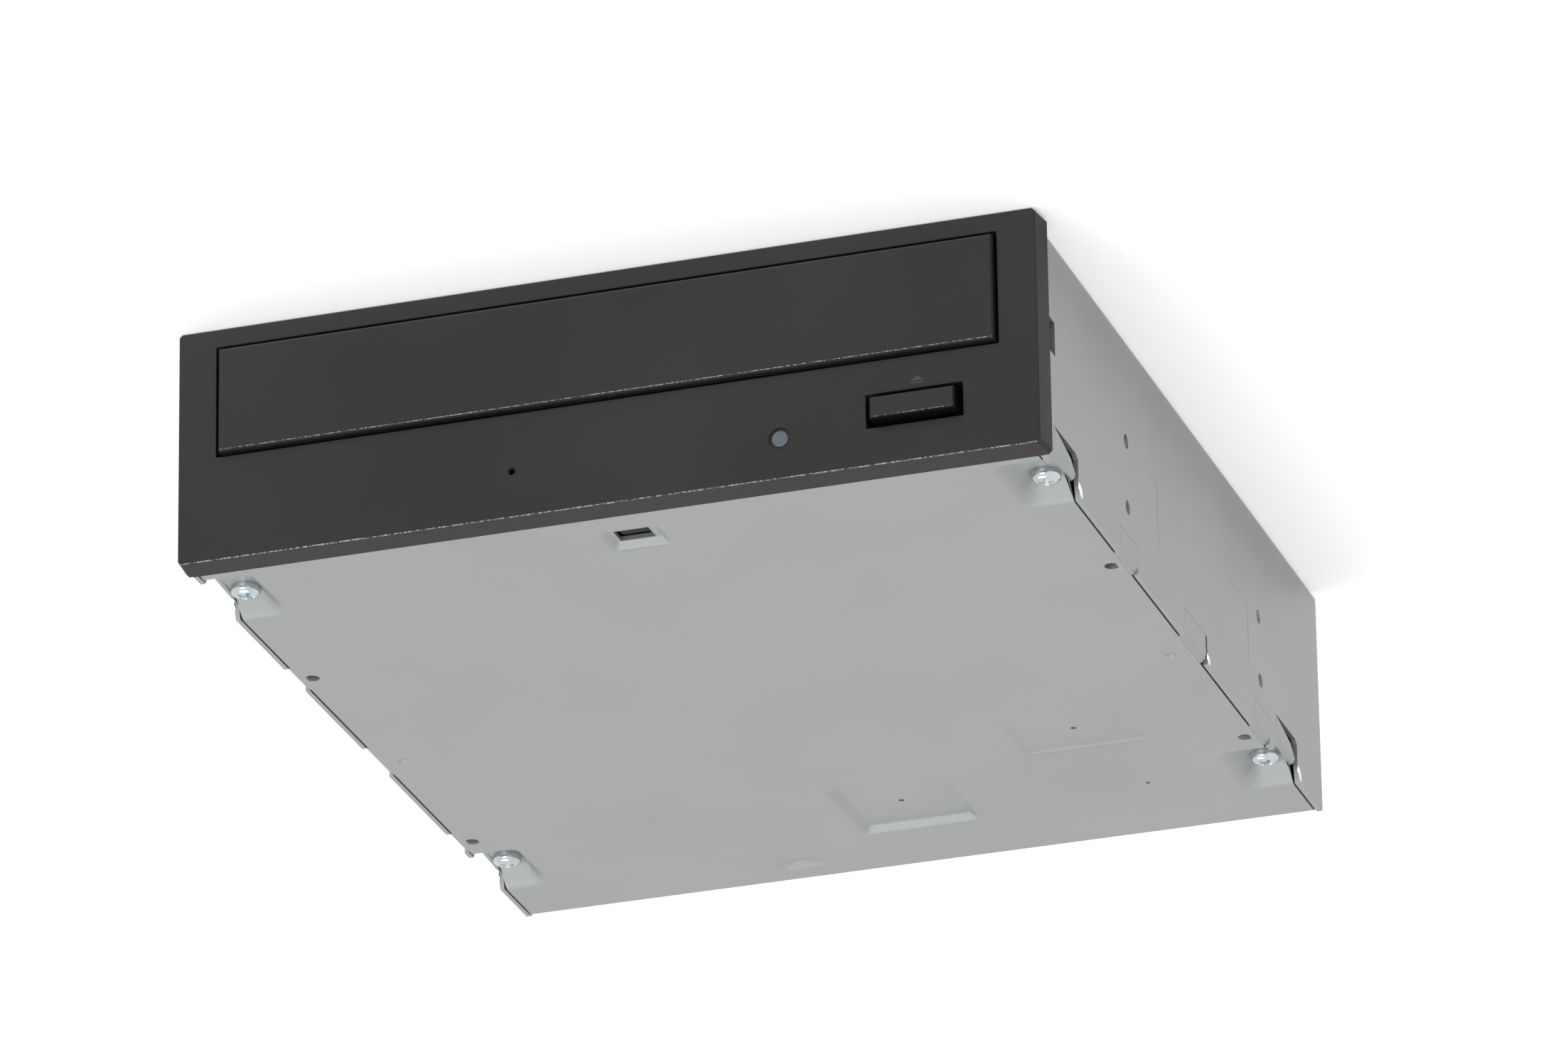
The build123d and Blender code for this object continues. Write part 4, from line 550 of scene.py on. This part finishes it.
def sharpen(bm, angle):
    """Smooth faces, with every edge that bends more than this angle left sharp."""
    for face in bm.faces:
        face.smooth = True
    for edge in bm.edges:
        edge.smooth = len(edge.link_faces) == 2 and edge.calc_face_angle(0.0) < radians(angle)


def long_edges(bm, length, angle=30.0):
    """Sharp outer edges of at least this length, in metres."""
    out = []
    for edge in bm.edges:
        if len(edge.link_faces) != 2 or edge.calc_length() < length:
            continue
        if edge.is_convex and edge.calc_face_angle(0.0) > radians(angle):
            out.append(edge)
    return out


def copied(node):
    """A new mesh from a node's solid, with its facets joined up again."""
    bm = bmesh.new()
    bm.from_mesh(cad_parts[node].data)
    bmesh.ops.remove_doubles(bm, verts=bm.verts[:], dist=1e-6)
    bmesh.ops.dissolve_limit(bm, angle_limit=radians(0.5), verts=bm.verts[:], edges=bm.edges[:])
    return bm


def add_piece(bm, name, body, materials, node=None):
    mesh = bpy.data.meshes.new(name)
    bmesh.ops.recalc_face_normals(bm, faces=bm.faces[:])
    bm.to_mesh(mesh)
    bm.free()
    piece = bpy.data.objects.new(name, mesh)
    scene.collection.objects.link(piece)
    for material in materials:
        mesh.materials.append(MATERIALS[material])
    normals = piece.modifiers.new("normals", "WEIGHTED_NORMAL")
    normals.weight = 100
    normals.keep_sharp = True
    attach(piece, body)
    if node:
        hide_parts(node)


# Pieces

def dress_nodes():
    for name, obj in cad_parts.items():
        obj.data.materials.clear()
        obj.data.materials.append(MATERIALS[FINISH[name]])
        if name in REPLACED:
            continue
        weld = obj.modifiers.new("weld", "WELD")
        weld.merge_threshold = 0.000002
        bevel = obj.modifiers.new("edge", "BEVEL")
        bevel.width = WIDER_EDGE.get(name, EDGE)
        bevel.segments = 2
        bevel.limit_method = "ANGLE"
        bevel.angle_limit = radians(35)
        bevel.harden_normals = False
        normals = obj.modifiers.new("normals", "WEIGHTED_NORMAL")
        normals.keep_sharp = True


def bottom_plate():
    bm = copied("bottom_plate")
    for press in PRESSES:
        soften(bm, press)
    for x, y in PLATE_HOLES:
        draw_in(bm, x, y, HOLE_REACH, HOLE_SHARE)
    for side in (-1, 1):
        draw_in(bm, side * STAKE[0], STAKE[1], STAKE_REACH, 0.3, 0.4, 0.6)
        draw_in(bm, side * STAKE[0], STAKE[1], STAKE_REACH, 0.7, -0.1, 0.1)
    soften_oval(bm)
    draw_flange_ends(bm)
    shine_threads(bm, 2, [(MOUNT_X, y) for y in MOUNT_Y])
    sharpen(bm, 24)
    add_piece(bm, "pressed_bottom_plate", "housing", ["case", "thread"], "bottom_plate")


def top_cover():
    bm = copied("top_cover")
    close_seams(bm)
    shine_threads(bm, 0, [(y, z) for y in MOUNT_Y for z in SIDE_HOLE_Z])
    sharpen(bm, 24)
    add_piece(bm, "folded_top_cover", "housing", ["case", "thread"], "top_cover")


def moulding_with_painted_highlight(node, name, body, material, length, width, highlight_below, highlight_width, highlight_reach):
    """A moulded part whose long front edges are rounded, its lowest edge a painted highlight in speckles.

    The highlighted edge lies below one height and in front of one depth, both in millimetres."""
    bm = copied(node)
    edges = [edge for edge in long_edges(bm, length) if max(vert.co.y for vert in edge.verts) < FRONT + 0.003]
    highlit_edges = [edge for edge in edges if max(vert.co.z for vert in edge.verts) < highlight_below * MM]
    highlit_edges = [edge for edge in highlit_edges if max(vert.co.y for vert in edge.verts) < FRONT + highlight_reach * MM]
    rest = [edge for edge in edges if edge not in highlit_edges]
    # The lowest edges take the painted highlight: a speckled bright line.
    bmesh.ops.bevel(bm, geom=highlit_edges, offset=highlight_width, segments=3, profile=0.5, affect="EDGES",
                    clamp_overlap=True, material=1)
    rest = [edge for edge in rest if edge.is_valid]
    bmesh.ops.bevel(bm, geom=rest, offset=width, segments=3, profile=0.5, affect="EDGES",
                    clamp_overlap=True, material=0)
    # The button's side faces take the near-black painted shade of its opening.
    if node == "eject_button":
        for face in bm.faces:
            if face.normal.y > -0.9 and face.material_index == 0:
                face.material_index = 2
    sharpen(bm, 30)
    add_piece(bm, name, body, [material, "edge", "shade"], node)


def dress_front():
    moulding_with_painted_highlight("bezel", "moulded_bezel", "housing", "bezel", 0.003, 0.0002, 1.0, 0.00015, 0.1)
    moulding_with_painted_highlight("tray_front", "moulded_tray_front", "tray", "door", 0.003, 0.00018, 19.5, 0.00007, -0.7)
    moulding_with_painted_highlight("eject_button", "moulded_button", "button", "bezel", 0.0008, 0.00012, 8.5, 0.00004, -1.35)


def pan_head(radius, height):
    """A pan head, its crown pointing down."""
    bm = bmesh.new()
    rim = 0.42
    profile = [(radius * 0.985, 0.0), (radius, -0.12 * height), (radius, -rim * height)]
    for step in range(1, CROWN_STEPS):
        turn = step / CROWN_STEPS * pi / 2
        profile.append((radius * cos(turn) ** 0.7, -rim * height - (height * (1 - rim)) * sin(turn)))
    rings = []
    for size, z in profile:
        ring = []
        for index in range(HEAD_SEGMENTS):
            turn = 2 * pi * index / HEAD_SEGMENTS
            ring.append(bm.verts.new((size * cos(turn) * MM, size * sin(turn) * MM, z * MM)))
        rings.append(ring)
    tip = bm.verts.new((0, 0, -height * MM))
    for lower, upper in zip(rings, rings[1:]):
        for index in range(HEAD_SEGMENTS):
            other = (index + 1) % HEAD_SEGMENTS
            bm.faces.new((lower[index], lower[other], upper[other], upper[index]))
    for index in range(HEAD_SEGMENTS):
        bm.faces.new((rings[-1][index], rings[-1][(index + 1) % HEAD_SEGMENTS], tip))
    bm.faces.new(rings[0])
    bmesh.ops.recalc_face_normals(bm, faces=bm.faces[:])
    return bm


def cross_cutter(reach, width):
    """The driver's cross: two tapered blades."""
    bm = bmesh.new()
    for sizes in ((reach, width / 2), (width / 2, reach)):
        corners = []
        for z, share in zip(CROSS_Z, (1.0, CROSS_TAPER)):
            half_x, half_y = [size * (share if size == reach else 1.0) for size in sizes]
            for sx, sy in ((-1, -1), (1, -1), (1, 1), (-1, 1)):
                corners.append(bm.verts.new((sx * half_x * MM, sy * half_y * MM, z * MM)))
        low, high = corners[:4], corners[4:]
        bm.faces.new(low)
        bm.faces.new(high)
        for index in range(4):
            other = (index + 1) % 4
            bm.faces.new((low[index], low[other], high[other], high[index]))
    bmesh.ops.recalc_face_normals(bm, faces=bm.faces[:])
    return bm


def working_object(bm, name):
    """An object that only lends its form and is removed again."""
    mesh = bpy.data.meshes.new(name)
    bm.to_mesh(mesh)
    bm.free()
    obj = bpy.data.objects.new(name, mesh)
    scene.collection.objects.link(obj)
    return obj


def screw_form():
    """A screw head with its cross cut in and its edges rounded."""
    head = working_object(pan_head(HEAD_RADIUS, HEAD_HEIGHT), "head_form")
    blade = working_object(cross_cutter(CROSS_REACH, CROSS_WIDTH), "cross_form")
    recess = head.modifiers.new("recess", "BOOLEAN")
    recess.object = blade
    recess.operation = "DIFFERENCE"
    recess.solver = "EXACT"
    recess.use_self = True
    rounded = head.modifiers.new("rounded", "BEVEL")
    rounded.width = 0.00005
    rounded.segments = 2
    rounded.limit_method = "ANGLE"
    rounded.angle_limit = radians(40)
    depsgraph = bpy.context.evaluated_depsgraph_get()
    form = bpy.data.meshes.new_from_object(head.evaluated_get(depsgraph))
    bpy.data.objects.remove(head)
    bpy.data.objects.remove(blade)
    return form


def case_screws():
    """Four pan-head screws with a cross recess, each turned as it was left."""
    form = screw_form()
    group = bmesh.new()
    for (side, row), degrees in SCREW_TURNS.items():
        turn = Matrix.Rotation(radians(degrees), 4, "Z")
        copy = form.copy()
        copy.transform(Matrix.Translation(at(side * SCREW_X, SCREW_Y[row], SCREW_SEAT)) @ turn)
        group.from_mesh(copy)
    sharpen(group, 35)
    add_piece(group, "cross_screws", "housing", ["screw"], "case_screws")


def cutout_lips():
    """The rolled lips at the rear ends of the side wall's cut-outs. Their near-white metal is a painted
    highlight on top of the lamps' real reflections.
    """
    bm = bmesh.new()
    turn = Matrix.Rotation(radians(LIP_TURN), 4, "X")
    for side in (-1, 1):
        for y, z, half in LIPS:
            place = Matrix.Translation(at(side * (HALF_CASE - LIP_INSET), y, z)) @ turn
            size = Matrix.Diagonal((LIP_THICK * MM, half * MM, half * LIP_SLIM * MM, 1.0))
            bmesh.ops.create_uvsphere(bm, u_segments=24, v_segments=12, radius=1.0, matrix=place @ size)
    sharpen(bm, 60)
    add_piece(bm, "cutout_lips", "housing", ["painted_lip_highlight"])


def eject_mark():
    """The common sign over the button: a triangle on a bar, a thin layer of ink."""
    bm = bmesh.new()
    for shape in SIGN_SHAPES:
        front = [bm.verts.new(at(SIGN_X + x, -SIGN_THICK, SIGN_Z + z)) for x, z in shape]
        back = [bm.verts.new(at(SIGN_X + x, 0.0, SIGN_Z + z)) for x, z in shape]
        bm.faces.new(front)
        bm.faces.new(reversed(back))
        for index in range(len(shape)):
            other = (index + 1) % len(shape)
            bm.faces.new((front[index], back[index], back[other], front[other]))
    add_piece(bm, "eject_sign", "housing", ["mark"])


# Stage and light

def add_sheet(name, corners, material):
    """One flat sheet of the stage."""
    mesh = bpy.data.meshes.new(name)
    mesh.from_pydata(corners, [], [(0, 1, 2, 3)])
    sheet = bpy.data.objects.new(name, mesh)
    scene.collection.objects.link(sheet)
    mesh.materials.append(material)


def floor_material(name):
    """White where the camera sees its front, with the object's shadow; not there for all else."""
    n = Nodes(name)
    n.tree.nodes.remove(n.shader)
    diffuse = n.add("ShaderNodeBsdfDiffuse")
    n.link(n.ramp(n.noise(3.0, 2.0), rgb(250, 250, 250), rgb(252, 252, 252)), diffuse.inputs["Color"])
    clear = n.add("ShaderNodeBsdfTransparent")
    facing = n.add("ShaderNodeNewGeometry")
    path = n.add("ShaderNodeLightPath")
    front = n.add("ShaderNodeMath", operation="SUBTRACT")
    front.inputs[0].default_value = 1.0
    n.link(facing.outputs["Backfacing"], front.inputs[1])
    shown = n.add("ShaderNodeMath", operation="MULTIPLY")
    n.link(front.outputs[0], shown.inputs[0])
    n.link(path.outputs["Is Camera Ray"], shown.inputs[1])
    glow = n.add("ShaderNodeEmission")
    glow.inputs["Strength"].default_value = FLOOR_GLOW
    paint = n.add("ShaderNodeAddShader")
    n.link(diffuse.outputs[0], paint.inputs[0])
    n.link(glow.outputs[0], paint.inputs[1])
    n.mix(shown.outputs[0], clear, paint)
    return n.material


def add_floor(name, z, downward):
    corners = [(x * FLOOR_HALF, y * FLOOR_HALF, z) for x, y in ((-1, -1), (1, -1), (1, 1), (-1, 1))]
    if downward:
        corners.reverse()
    add_sheet(name, corners, floor_material(name + "_paint"))


def card_material():
    """Pale grey for every ray but the camera's."""
    n = Nodes("side_card_paint")
    n.link(n.ramp(n.noise(3.0, 2.0), rgb(246, 246, 246), rgb(249, 249, 249)), n.shader.inputs["Base Color"])
    n.set(Specular_IOR_Level=0.0, Roughness=1.0)
    path = n.add("ShaderNodeLightPath")
    clear = n.add("ShaderNodeBsdfTransparent")
    n.mix(path.outputs["Is Camera Ray"], n.shader, clear)
    return n.material


def add_side_cards():
    """Two strips beside the case's upper edges: the floor in the drive's own shadow."""
    paint = card_material()
    spots = [(CARD_X[0], CARD_Y[0]), (CARD_X[1], CARD_Y[0]), (CARD_X[1], CARD_Y[1]), (CARD_X[0], CARD_Y[1])]
    for side, name in ((-1, "side_card_left"), (1, "side_card_right")):
        add_sheet(name, [at(side * x, y, CARD_Z) for x, y in spots], paint)


def add_lamp(name, place, size, power):
    data = bpy.data.lights.new(name, "AREA")
    data.shape = "DISK"
    data.size = size
    data.energy = power
    lamp = bpy.data.objects.new(name, data)
    scene.collection.objects.link(lamp)
    direction = Vector(LAMP_TARGET) - Vector(place)
    lamp.rotation_euler = direction.to_track_quat("-Z", "Y").to_euler()
    lamp.location = place


def light_world():
    """White for the camera, for reflections and through glass; a little less for diffuse light."""
    world = bpy.data.worlds.new("studio")
    scene.world = world
    world.use_nodes = True
    tree = world.node_tree
    background = tree.nodes["Background"]
    path = tree.nodes.new("ShaderNodeLightPath")
    total = path.outputs["Is Camera Ray"]
    for ray in ("Is Glossy Ray", "Is Transmission Ray"):
        add = tree.nodes.new("ShaderNodeMath")
        add.operation = "ADD"
        add.use_clamp = True
        tree.links.new(total, add.inputs[0])
        tree.links.new(path.outputs[ray], add.inputs[1])
        total = add.outputs[0]
    strength = tree.nodes.new("ShaderNodeMapRange")
    strength.inputs["To Min"].default_value = WORLD_LIGHT
    strength.inputs["To Max"].default_value = 1.0
    tree.links.new(total, strength.inputs["Value"])
    tree.links.new(strength.outputs["Result"], background.inputs["Strength"])
    background.inputs["Color"].default_value = (1.0, 1.0, 1.0, 1.0)


add_camera(RIGHT, FORWARD)
dress_nodes()
bottom_plate()
top_cover()
dress_front()
case_screws()
cutout_lips()
eject_mark()
add_floor("floor_photo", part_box("bezel")[1].z, True)
add_floor("floor_rest", 0.0, False)
add_side_cards()
light_world()
for lamp in LAMPS:
    add_lamp(*lamp)
scene.view_settings.view_transform = "Standard"
